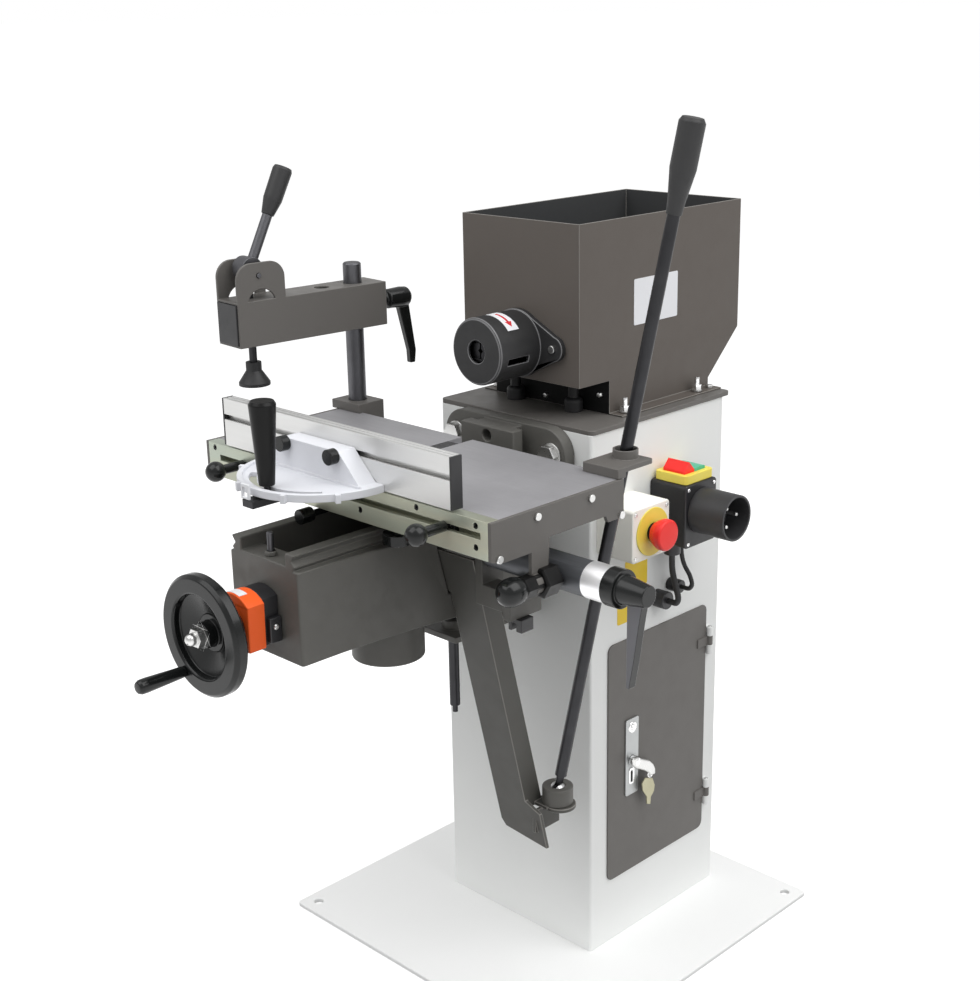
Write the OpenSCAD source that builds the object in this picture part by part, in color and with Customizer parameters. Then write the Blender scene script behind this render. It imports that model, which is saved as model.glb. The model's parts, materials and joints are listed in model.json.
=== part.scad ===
// Horizontal slot mortiser: a motor spindle on a cabinet, and a cross table on a rising knee.
// X runs along the table, Y from the front to the back, Z up from the floor.
// The origin is on the floor, under the middle of the cabinet's front face.

/* [Base and cabinet] */
// Side of the square base plate
base_w = 520; // [480:5:600]
// Thickness of the base plate
base_t = 6; // [4:1:10]
// Distance of the base plate's front edge from the cabinet
base_front = 193; // [170:1:210]
// Distance of each base bolt hole from the plate's edges
base_inset = 22; // [16:1:40]
// Diameter of the base bolt holes
base_hole_d = 13; // [9:1:18]
// Width of the cabinet
cab_w = 264; // [256:1:290]
// Depth of the cabinet
cab_d = 270; // [262:1:300]
// Height of the cabinet above the base plate
cab_h = 726; // [700:1:760]
// Thickness of the sheet metal
sheet = 2; // [1.5:0.5:3]
// Thickness of the plate that carries the motor
plate_t = 6; // [5:1:10]
// Width of the side door
door_w = 208; // [190:1:212]
// Height of the side door
door_h = 344; // [300:1:360]
// Height of the door's lower edge above the base plate
door_up = 94; // [80:1:110]

/* [Spindle and hood] */
// Offset of the spindle from the cabinet's middle
spin_x = -4; // [-10:1:10]
// Diameter of the motor housing over its ribs
motor_d = 176; // [160:1:178]
// Diameter of the motor shaft
shaft_d = 24.9; // [19.9:1:28.9]
// Height of the hood's top edge above the spindle
hood_up = 156; // [130:1:170]
// Diameter of the chuck
chuck_d = 60; // [54:1:64]
// Outer diameter of the chuck guard
guard_d = 85; // [82:1:92]
// Length of the chuck guard in front of the hood
guard_len = 79; // [74:1:84]
// Diameter of the hole in the front of the guard
guard_hole_d = 29; // [24:1:34]
// Opening travel of each chuck jaw
jaw_travel = 8; // [5:0.5:9]

/* [Knee and column] */
// Distance from the spindle down to the table top
table_drop = 104; // [100:1:108]
// Width of the knee at the front
knee_front_w = 124; // [116:1:130]
// Width of the knee at the back
knee_back_w = 164; // [156:1:168]
// Distance of the knee's front face from the cabinet
knee_reach = 405; // [396:1:412]
// Height of the knee's body
knee_h = 111; // [104:1:118]
// Wall of the knee casting
knee_wall = 9; // [7:0.5:11]
// Width of the column's sliding way
way_w = 92; // [84:1:100]
// Diameter of the lift screw
screw_d = 13.5; // [12:0.5:16]
// Pitch of the lift screw's thread
screw_pitch = 4; // [3:0.5:5]
// Diameter of the handwheel
wheel_d = 140; // [132:2:150]
// Diameter of the handwheel shaft
wheel_shaft_d = 20; // [18:1:22]

/* [Table] */
// Length of the table over its end plates
table_len = 500; // [480:2:520]
// Depth of the table
table_w = 220; // [214:1:226]
// Distance of the table's back edge from the cabinet
table_back = 84; // [80:1:88]
// Thickness of the table plate
table_t = 12; // [11:0.5:14]
// Thickness of each end plate
end_t = 5; // [4:0.5:8]
// Height of the front rail
rail_h = 43; // [40:1:46]
// Thickness of the front rail
rail_t = 16; // [15:0.5:18]
// Diameter of the round rods that the table slides on
rod_d = 20; // [16:1:22]
// Width of the mitre slot
slot_w = 19; // [16:0.5:22]
// Depth of the mitre slot
slot_deep = 9; // [7:0.5:9.5]
// Diameter of the ball knobs
knob_d = 25; // [20:1:28]

/* [Fence and gauge] */
// Length of the fence
fence_len = 402; // [380:2:420]
// Height of the fence
fence_h = 59; // [54:1:62]
// Thickness of the fence
fence_t = 16; // [14:0.5:18]
// Radius of the gauge's half disc
disc_r = 97; // [92:1:104]
// Thickness of the gauge's half disc
disc_t = 9; // [8:0.5:11]
// Height of the black gauge handle
grip_h = 96; // [80:1:110]

/* [Work clamp] */
// Diameter of the clamp post
post_d = 24; // [20:1:26]
// Height of the post above the table top
post_up = 196; // [190:1:230]
// Height of the clamp arm's underside above the table top
arm_up = 112; // [108:1:125]
// Width of the clamp arm
arm_w = 50; // [46:1:54]
// Height of the clamp arm
arm_h = 57; // [50:1:60]
// Wall of the clamp arm's tube
arm_wall = 3; // [2.5:0.5:4]
// Travel of the clamp's plunger
plunge = 6; // [4:0.5:7]
// Diameter of the clamp's pad
pad_d = 40; // [32:1:44]

/* [Joystick and stops] */
// Diameter of the joystick rod
stick_d = 15; // [13:0.5:16]
// Diameter of the joystick's ball
ball_d = 22; // [20:1:24]
// Length of the joystick's grip
stick_grip = 105; // [90:1:120]
// Diameter of the depth bar
bar_d = 42; // [38:1:44]
// Length of the depth bar with its ring
bar_len = 177; // [169:1:181]
// Diameter of the spindle inside the depth bar
spindle_d = 25; // [22:1:28]
// Diameter of the depth screw
depth_d = 14; // [12:1:16]

/* [Switches] */
// Side of the square emergency stop box
estop_w = 72; // [68:1:76]
// Depth of the switch boxes from the cabinet
switch_out = 58; // [54:1:64]
// Width of the main switch box
switch_w = 64; // [62:1:70]
// Height of the main switch box
switch_h = 84; // [80:1:92]
// Diameter of the power inlet
inlet_d = 60; // [56:1:62]

/* [Hidden] */
$fn = 48;

// Radial play of a shaft that turns in a bore
run = 0.05;
// Play between faces that slide on each other
play = 0.2;
// Distance that a cutting shape runs past a face
past = 1;
// Shrink that keeps a tight fit from overlapping
snug = 0.02;

// Heights that follow from the sizes above
cab_top = base_t + cab_h;
plate_top = cab_top + plate_t;
foot_gap = 2;
shaft_h = motor_d / 2 + foot_gap;
hood_w = motor_d + 24;
spin_z = plate_top + shaft_h;
hood_top = spin_z + hood_up;
table_z = spin_z - table_drop;

// Cabinet
cab_x = cab_w / 2;
cab_r = 4;
base_r = 6;
base_y1 = base_w - base_front;
door_y0 = (cab_d - door_w) / 2 + 2;
door_y1 = door_y0 + door_w;
door_z0 = base_t + door_up;
door_z1 = door_z0 + door_h;
door_r = 10;
door_lap = 9;
door_t = 2;
hinge_r = 3;
hinge_out = 4.5;
hinge_x = cab_x + hinge_out;
hinge_y = door_y1 + 5;
hinge_len = 40;
hinge_zs = [door_z0 + 55, door_z1 - 55];
lock_y = door_y0 + 47;
lock_z = (door_z0 + door_z1) / 2;
lock_w = 26;
lock_h = 112;
lock_t = 3;
lock_pin_r = 3;
lock_pin_z = lock_z - 6;

// Motor and hood
plate_x = cab_x + 2;
plate_y1 = cab_d + 13;
plate_r = 8;
hood_x0 = spin_x - hood_w / 2;
hood_x1 = spin_x + hood_w / 2;
hood_y0 = 20;
hood_step_y = 77;
hood_step_z = plate_top + 44;
hood_y2 = plate_y1;
hood_y1 = hood_y2 + 64;
hood_back_z = plate_top + 73;
flange_w = 22;
motor_y0 = hood_step_y + 4;
shield_t = 14;
stator_len = 128;
stator_y0 = motor_y0 + shield_t;
stator_y1 = stator_y0 + stator_len;
rear_y1 = stator_y1 + 12;
cowl_y1 = plate_y1 - 3;
rib_h = 7;
body_r = motor_d / 2 - rib_h;
stator_r = 55;
core_r = stator_r - 1;
bearing_r = 26;
bearing_t = 12;
fan_r = 66;
foot_w = 150;
foot_t = 10;
foot_len = 100;

// Chuck and guard
chuck_r = chuck_d / 2;
chuck_y1 = hood_y0 - 14;
guard_y0 = hood_y0 - guard_len;
guard_wall = 4;
chuck_y0 = guard_y0 + guard_wall + 3;
jaw_h = 20;
jaw_deep = 26;
jaw_len = chuck_r - jaw_travel - 5;
guard_bore = guard_d / 2 - guard_wall;
ear_x = 62;
ear_r = 16;
ear_t = 8;
ear_hole = 5.5;

// Column bracket on the cabinet's front
col_t = 18;
neck_t = 12;
head_t = 18;
neck_x = way_w / 2 - 14;
head_x = way_w / 2;
col_y = -(col_t + neck_t + head_t);
col_top = plate_top - 2;
col_bottom = plate_top - 218;
ear_w = 106;
ear_z0 = plate_top - 74;
col_bolt_x = 84;
col_bolt_z = plate_top - 34;
low_bolt_x = 46;
low_bolt_z = col_bottom + 25;
low_w = 60;
bolt_d = 16;
bolt_head = 24;
washer_d = 30;

// Knee
way_gap = play;
knee_top = table_z - 76;
knee_z0 = knee_top - knee_h;
rail_top = knee_top + 19;
knee_y0 = -knee_reach;
knee_fx = knee_front_w / 2;
knee_bx = knee_back_w / 2;
shoulder_y = -205;
knee_y1 = -90;
jaw_x = 66;
jaw_top = knee_top + 42;
lip_back = -(col_t + play * 4);
lip_front = -(col_t + neck_t - play);
head_back = lip_front;
head_front = col_y - way_gap;
way_in = knee_fx - 22;
way_out = knee_fx - 5;
shelf_z = knee_top + 4;
shelf_y1 = knee_y0 + 32;
pocket_z = knee_top - 18;
wheel_z = knee_top - 63;
screw_y = -115;
journal_d = screw_d;
gear_r = 15;
gear_t = 8;
gear_play = 0.5;
stud_d = 8;
stud_y = knee_y0 + 12;
cup_r = 45;
cup_y = -225;
cup_h = 57;
nut_z1 = knee_z0 - 55;
nut_t = 8;
screw_low = nut_z1 - nut_t - 101;
counter_y1 = knee_y0;
counter_base_t = 17;
counter_t = 28;
counter_w = 54;
counter_h = 60;

// Handwheel
wheel_r = wheel_d / 2;
wheel_y1 = counter_y1 - counter_base_t - counter_t - 30;
wheel_y0 = wheel_y1 - 18;
hub_r = 22;
crank_r = 59;
pin_x = -32;
pin_z = wheel_z - sqrt(crank_r * crank_r - pin_x * pin_x);
crank_pin_d = 8;
crank_len = 54;

// Depth bar on its bracket, beside the lever arm's two edges
arm_x0 = 82;
arm_x1 = 135;
bar_y = -186;
bar_z = table_z - 85;
cheek_t = 12;
bar_x0 = arm_x1 + cheek_t;
bar_x1 = bar_x0 + bar_len;
ring_len = 28;
bracket_z0 = bar_z - 64;
lever_hub_x0 = bar_x1 + play;
lever_flange_t = 17;
lever_hub_len = 34;

// Table and its rods
table_x0 = -240;
table_x1 = table_x0 + table_len;
table_y1 = -table_back;
table_y0 = table_y1 - table_w;
under_z = table_z - table_t;
top_x0 = table_x0 + end_t;
top_x1 = table_x1 - end_t;
rod_z = table_z - 27;
rod_front_y = table_y0 + 38;
rod_back_y = table_y1 - 21;
rod_r = rod_d / 2;
groove_z = table_z - 17.5;
groove_h = 7.5;
groove_in = 6;
groove_cave_h = 15;
groove_cave_t = 7;
groove_x0 = table_x0 + 28;
groove_x1 = table_x1 - 16;
slot_x = 2;
// Screws in the front rail: place along the rail and height from the table top
rail_screws = [[table_x0 + 18, -6], [table_x0 + 19, -30], [52, -29], [table_x1 - 114, -6], [table_x1 - 23, -7],
    [table_x1 - 23, -31]];

// Saddle
saddle_z1 = rod_z - 13;
saddle_x = 88;
saddle_y0 = table_y0 + 22;
saddle_low_y0 = table_y0 + 54;
rod_block = 12.5;

// Depth screw under the right end plate
depth_x = table_x1 - 2;
depth_y = bar_y - bar_d / 2;
sleeve_y0 = table_y0 + 61;
sleeve_y1 = depth_y - 21;
sleeve_r = 12;

// Gauge, fence and handle
gauge_x = slot_x;
gauge_y = table_y0 - 11;
bar_w = slot_w - 0.4;
miter_y0 = table_y0 - 118;
miter_y1 = table_y1 - 24;
disc_z0 = table_z + 2;
disc_z1 = disc_z0 + disc_t;
arc_r = disc_r - 18;
arc_w = 9;
arc_half = 50;
wall_t = 5;
fence_y0 = table_y0 - 3;
wall_y1 = fence_y0 - play;
fence_y1 = fence_y0 + fence_t;
fence_z0 = table_z + 3;
fence_z1 = fence_z0 + fence_h;
fence_x0 = gauge_x - 198;
fence_slot_z = fence_z0 + 36;
fence_slot_h = 6.5;
fence_knob_x = 43;
head_y0 = wall_y1 - 24.3;
head_z1 = disc_z1 + 34;
handle_r = 12;

// Work clamp, in its own turned frame at the post
post_x = -221;
post_y = -70;
swivel = -5;
arm_z0 = table_z + arm_up;
arm_z1 = arm_z0 + arm_h;
arm_front = -190;
arm_rear = 36;
post_r = post_d / 2;
plunger_v = -158;
plunger_r = 5;
pivot_z = arm_z1 + 31;
cheek_r = 21;
cam_r = 15;
cam_off = 6;
cam_t = 24;
cam_pin_r = 3;
lever_lean = -26;
grip_at = 77;
pad_z0 = table_z + 58;
grip_pin_z = arm_z0 + 28;

// Joystick, tilted twice about its ball
ball_x = 156;
ball_y = -90;
ball_z = table_z - 428;
bush_x = table_x1 - 29;
bush_y = -53;
bush_z = table_z + 16;
ball_r = ball_d / 2;
stick_rise = bush_z - ball_z;
tilt_x = atan((bush_x - ball_x) / stick_rise);
tilt_y = atan((bush_y - ball_y) / norm([bush_x - ball_x, stick_rise]));
stick_span = norm([bush_x - ball_x, bush_y - ball_y, stick_rise]);
stick_end = stick_span + 385;
tongue_r = 8;
tongue_t = 6;
trunnion_y = ball_r + 2.5;
trunnion_d = 8;
cup_out = 19.5;
cup_z0 = ball_z - 16;
cup_z1 = ball_z + 7;
bush_r = 15;
bush_bore = stick_d / 2 + 4.5;

// Lever arm of bent plate
arm_t = 5;
arm_lean = 13.4;
arm_top_z = knee_top - 20;
arm_top_y = -209;
arm_low_z = ball_z - 74;
foot_x1 = 157;

// Switches on the cabinet's right face
estop_y = 47;
estop_z = table_z - 113.5;
estop_h = 69;
estop_disc_r = 31;
switch_y0 = 116;
switch_z0 = table_z - 156;
switch_z1 = switch_z0 + switch_h;
switch_y1 = switch_y0 + switch_w;
inlet_y = switch_y0 + 34;
inlet_z = switch_z0 + 46;
inlet_len = 55;
bezel_t = 12;
cap_gap = 0.3;

// Slabs drawn in a side view, a front view or a plan
module slab_x(x0, x1) {
    translate([x0, 0, 0]) rotate([90, 0, 90]) linear_extrude(x1 - x0) children();
}
module slab_y(y0, y1) {
    translate([0, y1, 0]) rotate([90, 0, 0]) linear_extrude(y1 - y0) children();
}
module slab_z(z0, z1) {
    translate([0, 0, z0]) linear_extrude(z1 - z0) children();
}
// Box between two corners
module block(x0, x1, y0, y1, z0, z1) {
    translate([x0, y0, z0]) cube([x1 - x0, y1 - y0, z1 - z0]);
}
// Round bars along each axis
module bar_along_x(x0, x1, y, z, d) {
    translate([x0, y, z]) rotate([0, 90, 0]) cylinder(h = x1 - x0, d = d);
}
module bar_along_y(y0, y1, x, z, d) {
    translate([x, y1, z]) rotate([90, 0, 0]) cylinder(h = y1 - y0, d = d);
}
module bar_along_z(z0, z1, x, y, d) {
    translate([x, y, z0]) cylinder(h = z1 - z0, d = d);
}
// Turned shape whose profile runs along an axis: [radius, distance]
module turned_x(x, y, z) {
    translate([x, y, z]) rotate([0, 90, 0]) rotate_extrude() children();
}
module turned_y(x, y, z) {
    translate([x, y, z]) rotate([-90, 0, 0]) rotate_extrude() children();
}
// Rectangle with round corners
module soft_rect(a0, a1, b0, b1, r) {
    translate([a0 + r, b0]) square([a1 - a0 - 2 * r, b1 - b0]);
    translate([a0, b0 + r]) square([a1 - a0, b1 - b0 - 2 * r]);
    for (a = [a0 + r, a1 - r])
        for (b = [b0 + r, b1 - r])
            translate([a, b]) circle(r);
}
// Ball for a turned profile, cut flat where its neck starts
module half_disc(r) {
    intersection() {
        circle(r);
        translate([0, -r]) square([r, 2 * r]);
    }
}

module base_plate() {
    color("whitesmoke") difference() {
        slab_z(0, base_t) soft_rect(-base_w / 2, base_w / 2, -base_front, base_y1, base_r);
        for (x = [-base_w / 2 + base_inset, base_w / 2 - base_inset])
            for (y = [-base_front + base_inset, base_y1 - base_inset])
                bar_along_z(-past, base_t + past, x, y, base_hole_d);
    }
}

module cabinet() {
    color("whitesmoke") difference() {
        slab_z(base_t, cab_top) soft_rect(-cab_x, cab_x, 0, cab_d, cab_r);
        slab_z(base_t + sheet, cab_top - sheet)
            soft_rect(-cab_x + sheet, cab_x - sheet, sheet, cab_d - sheet, cab_r - sheet / 2);
        slab_z(base_t - past, cab_top + past)
            soft_rect(-cab_x + 26, cab_x - 26, 26, cab_d - 26, cab_r);
        slab_x(cab_x - sheet - past, cab_x + past)
            soft_rect(door_y0 + door_lap, door_y1 - door_lap, door_z0 + door_lap, door_z1 - door_lap, door_r);
        for (s = [-1, 1]) {
            bar_along_y(-past, sheet + past, s * col_bolt_x, col_bolt_z, bolt_d + 1);
            bar_along_y(-past, sheet + past, s * low_bolt_x, low_bolt_z, 11);
        }
    }
    color("whitesmoke") for (z = hinge_zs)
        for (s = [-1, 1])
            hinge_knuckle(z + s * hinge_len / 3, hinge_len / 3 - play, cab_x);
}

// One hinge knuckle with its leaf, centred at a height
module hinge_knuckle(z, h, face_x) {
    difference() {
        union() {
            bar_along_z(z - h / 2, z + h / 2, hinge_x, hinge_y, 2 * hinge_r + 3);
            block(face_x, hinge_x, hinge_y, hinge_y + hinge_r + 1.5, z - h / 2, z + h / 2);
        }
        bar_along_z(z - h, z + h, hinge_x, hinge_y, 2 * hinge_r);
    }
}

module motor_plate() {
    color("dimgray") slab_z(cab_top, plate_top) difference() {
        soft_rect(-plate_x, plate_x, 0, plate_y1, plate_r);
        for (s = [-1, 1])
            for (y = [stator_y0 + 20, stator_y0 + foot_len])
                translate([spin_x + s * (foot_w / 2 - 12), y]) circle(5);
    }
}

// Side outline of the hood, drawn a given distance inside its outer face
module hood_side(d, below) {
    polygon([
        [hood_y0 + d, hood_step_z + d],
        [hood_step_y + d, hood_step_z + d],
        [hood_step_y + d, plate_top - below],
        [hood_y2 - d, plate_top - below],
        [hood_y2 - d, plate_top + 12 + d / 2],
        [hood_y1 - d, hood_back_z + d / 2],
        [hood_y1 - d, hood_top + below],
        [hood_y0 + d, hood_top + below]]);
}

module hood() {
    color("dimgray") difference() {
        union() {
            slab_x(hood_x0, hood_x1) hood_side(0, 0);
            block(hood_x0 - flange_w, hood_x1 + flange_w, hood_step_y, hood_y2, plate_top, plate_top + sheet);
        }
        slab_x(hood_x0 + sheet, hood_x1 - sheet) hood_side(sheet, past);
        bar_along_y(hood_y0 - past, hood_y0 + sheet + past, spin_x, spin_z, 2 * guard_bore);
        for (s = [-1, 1])
            bar_along_y(hood_y0 - past, hood_y0 + sheet + past, spin_x + s * ear_x, spin_z, ear_hole);
        for (x = [hood_x0 - flange_w / 2, hood_x1 + flange_w / 2])
            for (y = [hood_step_y + 35, hood_y2 - 13])
                bar_along_z(plate_top - past, plate_top + sheet + past, x, y, 7);
    }
}

module motor_housing() {
    box_w = 90;
    box_z = spin_z + body_r - 8;
    color("slategray") difference() {
        union() {
            bar_along_y(stator_y0, stator_y1, spin_x, spin_z, 2 * body_r);
            for (a = [0 : 10 : 350])
                translate([spin_x, 0, spin_z]) rotate([0, a, 0])
                    block(body_r - 2, motor_d / 2, stator_y0 + 6, stator_y1 - 6, -1.2, 1.2);
            block(spin_x - foot_w / 2, spin_x + foot_w / 2, stator_y0 + 8, stator_y0 + 8 + foot_len,
                plate_top, plate_top + foot_t);
            block(spin_x - 45, spin_x + 45, stator_y0 + 8, stator_y0 + 8 + foot_len, plate_top, spin_z - 60);
        }
        bar_along_y(stator_y0 - past, stator_y1 + past, spin_x, spin_z, 2 * stator_r);
        for (s = [-1, 1])
            for (y = [stator_y0 + 20, stator_y0 + foot_len])
                bar_along_z(plate_top - past, plate_top + foot_t + past, spin_x + s * (foot_w / 2 - 12), y, 9);
        block(spin_x - box_w / 2, spin_x + box_w / 2, stator_y0 + 20, stator_y0 + 20 + box_w, box_z, hood_top);
    }
    color("darkslategray") block(spin_x - box_w / 2, spin_x + box_w / 2, stator_y0 + 20,
        stator_y0 + 20 + box_w, box_z + snug, box_z + 46);
}

// Ball bearing drawn as an outer ring, an inner ring and its balls
module bearing(y) {
    mid_r = (shaft_d / 2 + bearing_r) / 2;
    turned_y(spin_x, y, spin_z) {
        translate([mid_r + 3, 0]) square([bearing_r - mid_r - 3 - snug, bearing_t]);
        translate([shaft_d / 2 + run, 0]) square([mid_r - 3 - shaft_d / 2 - run, bearing_t]);
        translate([mid_r - 3.5, bearing_t / 2 - 1]) square([7, 2]);
    }
}

module motor_covers() {
    color("slategray") turned_y(spin_x, motor_y0, spin_z) difference() {
        square([motor_d / 2 - 3, shield_t]);
        translate([-past, -past]) square([shaft_d / 2 + past + 1, shield_t + 2 * past]);
        translate([-past, 1]) square([bearing_r + past, bearing_t]);
        translate([-past, bearing_t]) square([bearing_r + past, shield_t]);
    }
    color("slategray") turned_y(spin_x, stator_y1, spin_z) difference() {
        square([motor_d / 2 - 3, rear_y1 - stator_y1]);
        translate([-past, -past]) square([bearing_r + past, bearing_t - 1 + past]);
        translate([-past, -past]) square([shaft_d / 2 + past + 1, 30]);
    }
    color("slategray") difference() {
        turned_y(spin_x, rear_y1 + snug, spin_z) difference() {
            square([motor_d / 2 - 3, cowl_y1 - rear_y1]);
            translate([-past, -past]) square([motor_d / 2 - 5 + past, cowl_y1 - rear_y1 - 2 + past]);
        }
        for (r = [20 : 12 : 56])
            for (a = [0 : 30 : 330])
                translate([spin_x, 0, spin_z]) rotate([0, a, 0])
                    bar_along_y(cowl_y1 - 3, cowl_y1 + past, r, 0, 7);
    }
    color("silver") bearing(motor_y0 + 1 + snug);
    color("silver") bearing(stator_y1 - 1 - snug);
}

// Guard flange with two ears, as a front view
module ear_outline() {
    body = guard_d / 2 + 1.5;
    body_in = body - 0.6;
    ear_in = ear_r - 0.6;
    lean = acos((body_in - ear_in) / ear_x);
    for (s = [-1, 1]) {
        translate([s * ear_x, 0]) circle(ear_r);
        polygon([
            [s * body_in * cos(lean), body_in * sin(lean)],
            [s * (ear_x + ear_in * cos(lean)), ear_in * sin(lean)],
            [s * (ear_x + ear_in * cos(lean)), -ear_in * sin(lean)],
            [s * body_in * cos(lean), -body_in * sin(lean)],
            [0, 0]]);
    }
    circle(body);
}

module chuck_guard() {
    key_y = hood_y0 - 46;
    color("#333335") difference() {
        union() {
            turned_y(spin_x, guard_y0, spin_z) polygon([
                [0, 0], [guard_d / 2 - 2, 0], [guard_d / 2, 2], [guard_d / 2, guard_len - past], [0, guard_len - past]]);
            translate([spin_x, 0, spin_z]) slab_y(hood_y0 - ear_t, hood_y0) ear_outline();
        }
        bar_along_y(guard_y0 + guard_wall, hood_y0 + past, spin_x, spin_z, 2 * guard_bore);
        bar_along_y(guard_y0 - past, hood_y0, spin_x, spin_z, guard_hole_d);
        for (s = [-1, 1])
            bar_along_y(hood_y0 - ear_t - past, hood_y0 + past, spin_x + s * ear_x, spin_z, ear_hole);
        block(spin_x, spin_x + guard_d, key_y - 18, key_y + 18, spin_z - 15, spin_z - 7);
    }
}

// Plate and ears of the column bracket, as a front view
module column_plate() {
    ear_top_r = 34;
    difference() {
        union() {
            translate([-ear_w, ear_z0]) square([2 * ear_w, col_top - ear_z0]);
            translate([-low_w, col_bottom]) square([2 * low_w, ear_z0 - col_bottom + past]);
        }
        for (s = [-1, 1])
            translate([s * ear_w, col_top]) difference() {
                square(2 * ear_top_r, center = true);
                translate([-s * ear_top_r, -ear_top_r]) circle(ear_top_r);
            }
    }
}

module column_bracket() {
    color("#5f5e58") difference() {
        union() {
            slab_y(-col_t, 0) column_plate();
            slab_y(col_y + head_t - past, -col_t + past)
                translate([-neck_x, col_bottom]) square([2 * neck_x, col_top - col_bottom - 4]);
            slab_y(col_y, col_y + head_t)
                translate([-head_x, col_bottom]) square([2 * head_x, col_top - col_bottom - 4]);
        }
        for (s = [-1, 1]) {
            bar_along_y(-col_t - past, past, s * col_bolt_x, col_bolt_z, bolt_d + 1);
            bar_along_y(-col_t - past, past, s * low_bolt_x, low_bolt_z, 11);
            bar_along_y(-col_t - past, -6, s * low_bolt_x, low_bolt_z, 17.5);
        }
        bar_along_y(col_y - past, col_y + 14, 0, col_top - 16, 15);
    }
}

// Hexagon screw along Y whose head's underside is at y, with its washer in front of the bracket
module hex_bolt_y(x, z, y, reach) {
    color("silver") {
        translate([x, y, z]) rotate([90, 0, 0]) cylinder(h = 10, d = bolt_head / cos(30), $fn = 6);
        bar_along_y(y - past, y + reach, x, z, bolt_d);
    }
    color("silver") difference() {
        bar_along_y(y + snug, y + 2.5, x, z, washer_d);
        bar_along_y(y - past, y + 4, x, z, bolt_d + 2 * snug);
    }
}

// Small hexagon screw along Z with a washer
module hex_bolt_z(x, y, z, d, reach) {
    color("silver") {
        translate([x, y, z]) cylinder(h = 0.65 * d, d = 1.9 * d, $fn = 6);
        bar_along_z(z - reach, z + past, x, y, d);
    }
}

module frame_bolts() {
    for (s = [-1, 1]) {
        hex_bolt_y(s * col_bolt_x, col_bolt_z, -col_t - 2.5, col_t + 12);
        color("dimgray") bar_along_y(-6, 9, s * low_bolt_x, low_bolt_z, 10);
        color("dimgray") bar_along_y(-15, -6, s * low_bolt_x, low_bolt_z, 16);
        color("silver") bar_along_y(hood_y0 - ear_t - 3, hood_y0 - ear_t, spin_x + s * ear_x, spin_z, 10);
        color("silver") bar_along_y(hood_y0 - ear_t, hood_y0 + 8, spin_x + s * ear_x, spin_z, 5);
    }
    for (x = [hood_x0 - flange_w / 2, hood_x1 + flange_w / 2])
        for (y = [hood_step_y + 35, hood_y2 - 13])
            hex_bolt_z(x, y, plate_top + sheet, 6, sheet);
    color("silver") for (z = hinge_zs)
        bar_along_z(z - hinge_len / 2 - 1, z + hinge_len / 2 + 1, hinge_x, hinge_y, 2 * (hinge_r - run));
}

module buffers() {
    buffer_x = 51;
    dome_r = 12;
    dome_h = 18;
    color("#1c1c1e") for (s = [-1, 1])
        translate([spin_x + s * buffer_x, hood_step_y - dome_r - 1, plate_top]) rotate_extrude() polygon(concat(
            [[0, 0], [dome_r, 0]],
            [for (a = [0 : 15 : 75]) [7 + (dome_r - 7) * cos(a), dome_h - 6 + 6 * sin(a)]],
            [[7, dome_h], [7, hood_step_z - plate_top], [0, hood_step_z - plate_top]]));
}

module lift_nut_plate() {
    color("gainsboro") difference() {
        union() {
            block(-32, 32, screw_y - 26, col_y, nut_z1 - nut_t, nut_z1);
            block(-32, 32, col_y, 0, nut_z1 - nut_t, col_bottom);
            bar_along_z(nut_z1 - nut_t, nut_z1 + 12, 0, screw_y, 30);
        }
        bar_along_z(nut_z1 - nut_t - past, nut_z1 + 13, 0, screw_y, screw_d + 2 * run);
    }
}

module switch_box() {
    wall = 3;
    color("#202022") difference() {
        slab_x(cab_x, cab_x + switch_out) soft_rect(switch_y0, switch_y1, switch_z0, switch_z1, 5);
        slab_x(cab_x + wall, cab_x + switch_out - wall)
            soft_rect(switch_y0 + wall, switch_y1 - wall, switch_z0 + wall, switch_z1 - wall, 2);
        block(cab_x + 10, cab_x + switch_out - 10, switch_y0 + 9, switch_y1 - 9, switch_z1 - wall - past, switch_z1 + past);
        bar_along_x(cab_x + switch_out - wall - past, cab_x + switch_out + past, inlet_y, inlet_z, 30);
    }
}

module inlet_socket() {
    face_x = cab_x + switch_out;
    floor_t = 20;
    wall = 3;
    color("#1d1d1f") difference() {
        union() {
            bar_along_x(face_x, face_x + inlet_len, inlet_y, inlet_z, inlet_d);
            bar_along_x(face_x - 3, face_x, inlet_y, inlet_z, 29);
        }
        bar_along_x(face_x + floor_t, face_x + inlet_len + past, inlet_y, inlet_z, inlet_d - 2 * wall);
        for (a = [0 : 120 : 240])
            pin_bore(a, face_x + floor_t - 6);
    }
    color("gold") for (a = [0 : 120 : 240])
        translate([0, inlet_y, inlet_z]) rotate([a, 0, 0])
            bar_along_x(face_x + floor_t - 6 + snug, face_x + inlet_len - 10, 14, 0, 5 - 2 * snug);
}
module pin_bore(a, x0) {
    translate([0, inlet_y, inlet_z]) rotate([a, 0, 0]) bar_along_x(x0, x0 + 20, 14, 0, 5);
}

module estop_box() {
    wall = 3;
    color("ivory") difference() {
        slab_x(cab_x, cab_x + switch_out) soft_rect(estop_y - estop_w / 2, estop_y + estop_w / 2,
            estop_z - estop_h / 2, estop_z + estop_h / 2, 5);
        slab_x(cab_x + wall, cab_x + switch_out - wall) soft_rect(estop_y - estop_w / 2 + wall,
            estop_y + estop_w / 2 - wall, estop_z - estop_h / 2 + wall, estop_z + estop_h / 2 - wall, 3);
        bar_along_x(cab_x + switch_out - wall - past, cab_x + switch_out + past, estop_y + 2, estop_z, 22);
    }
}

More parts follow.
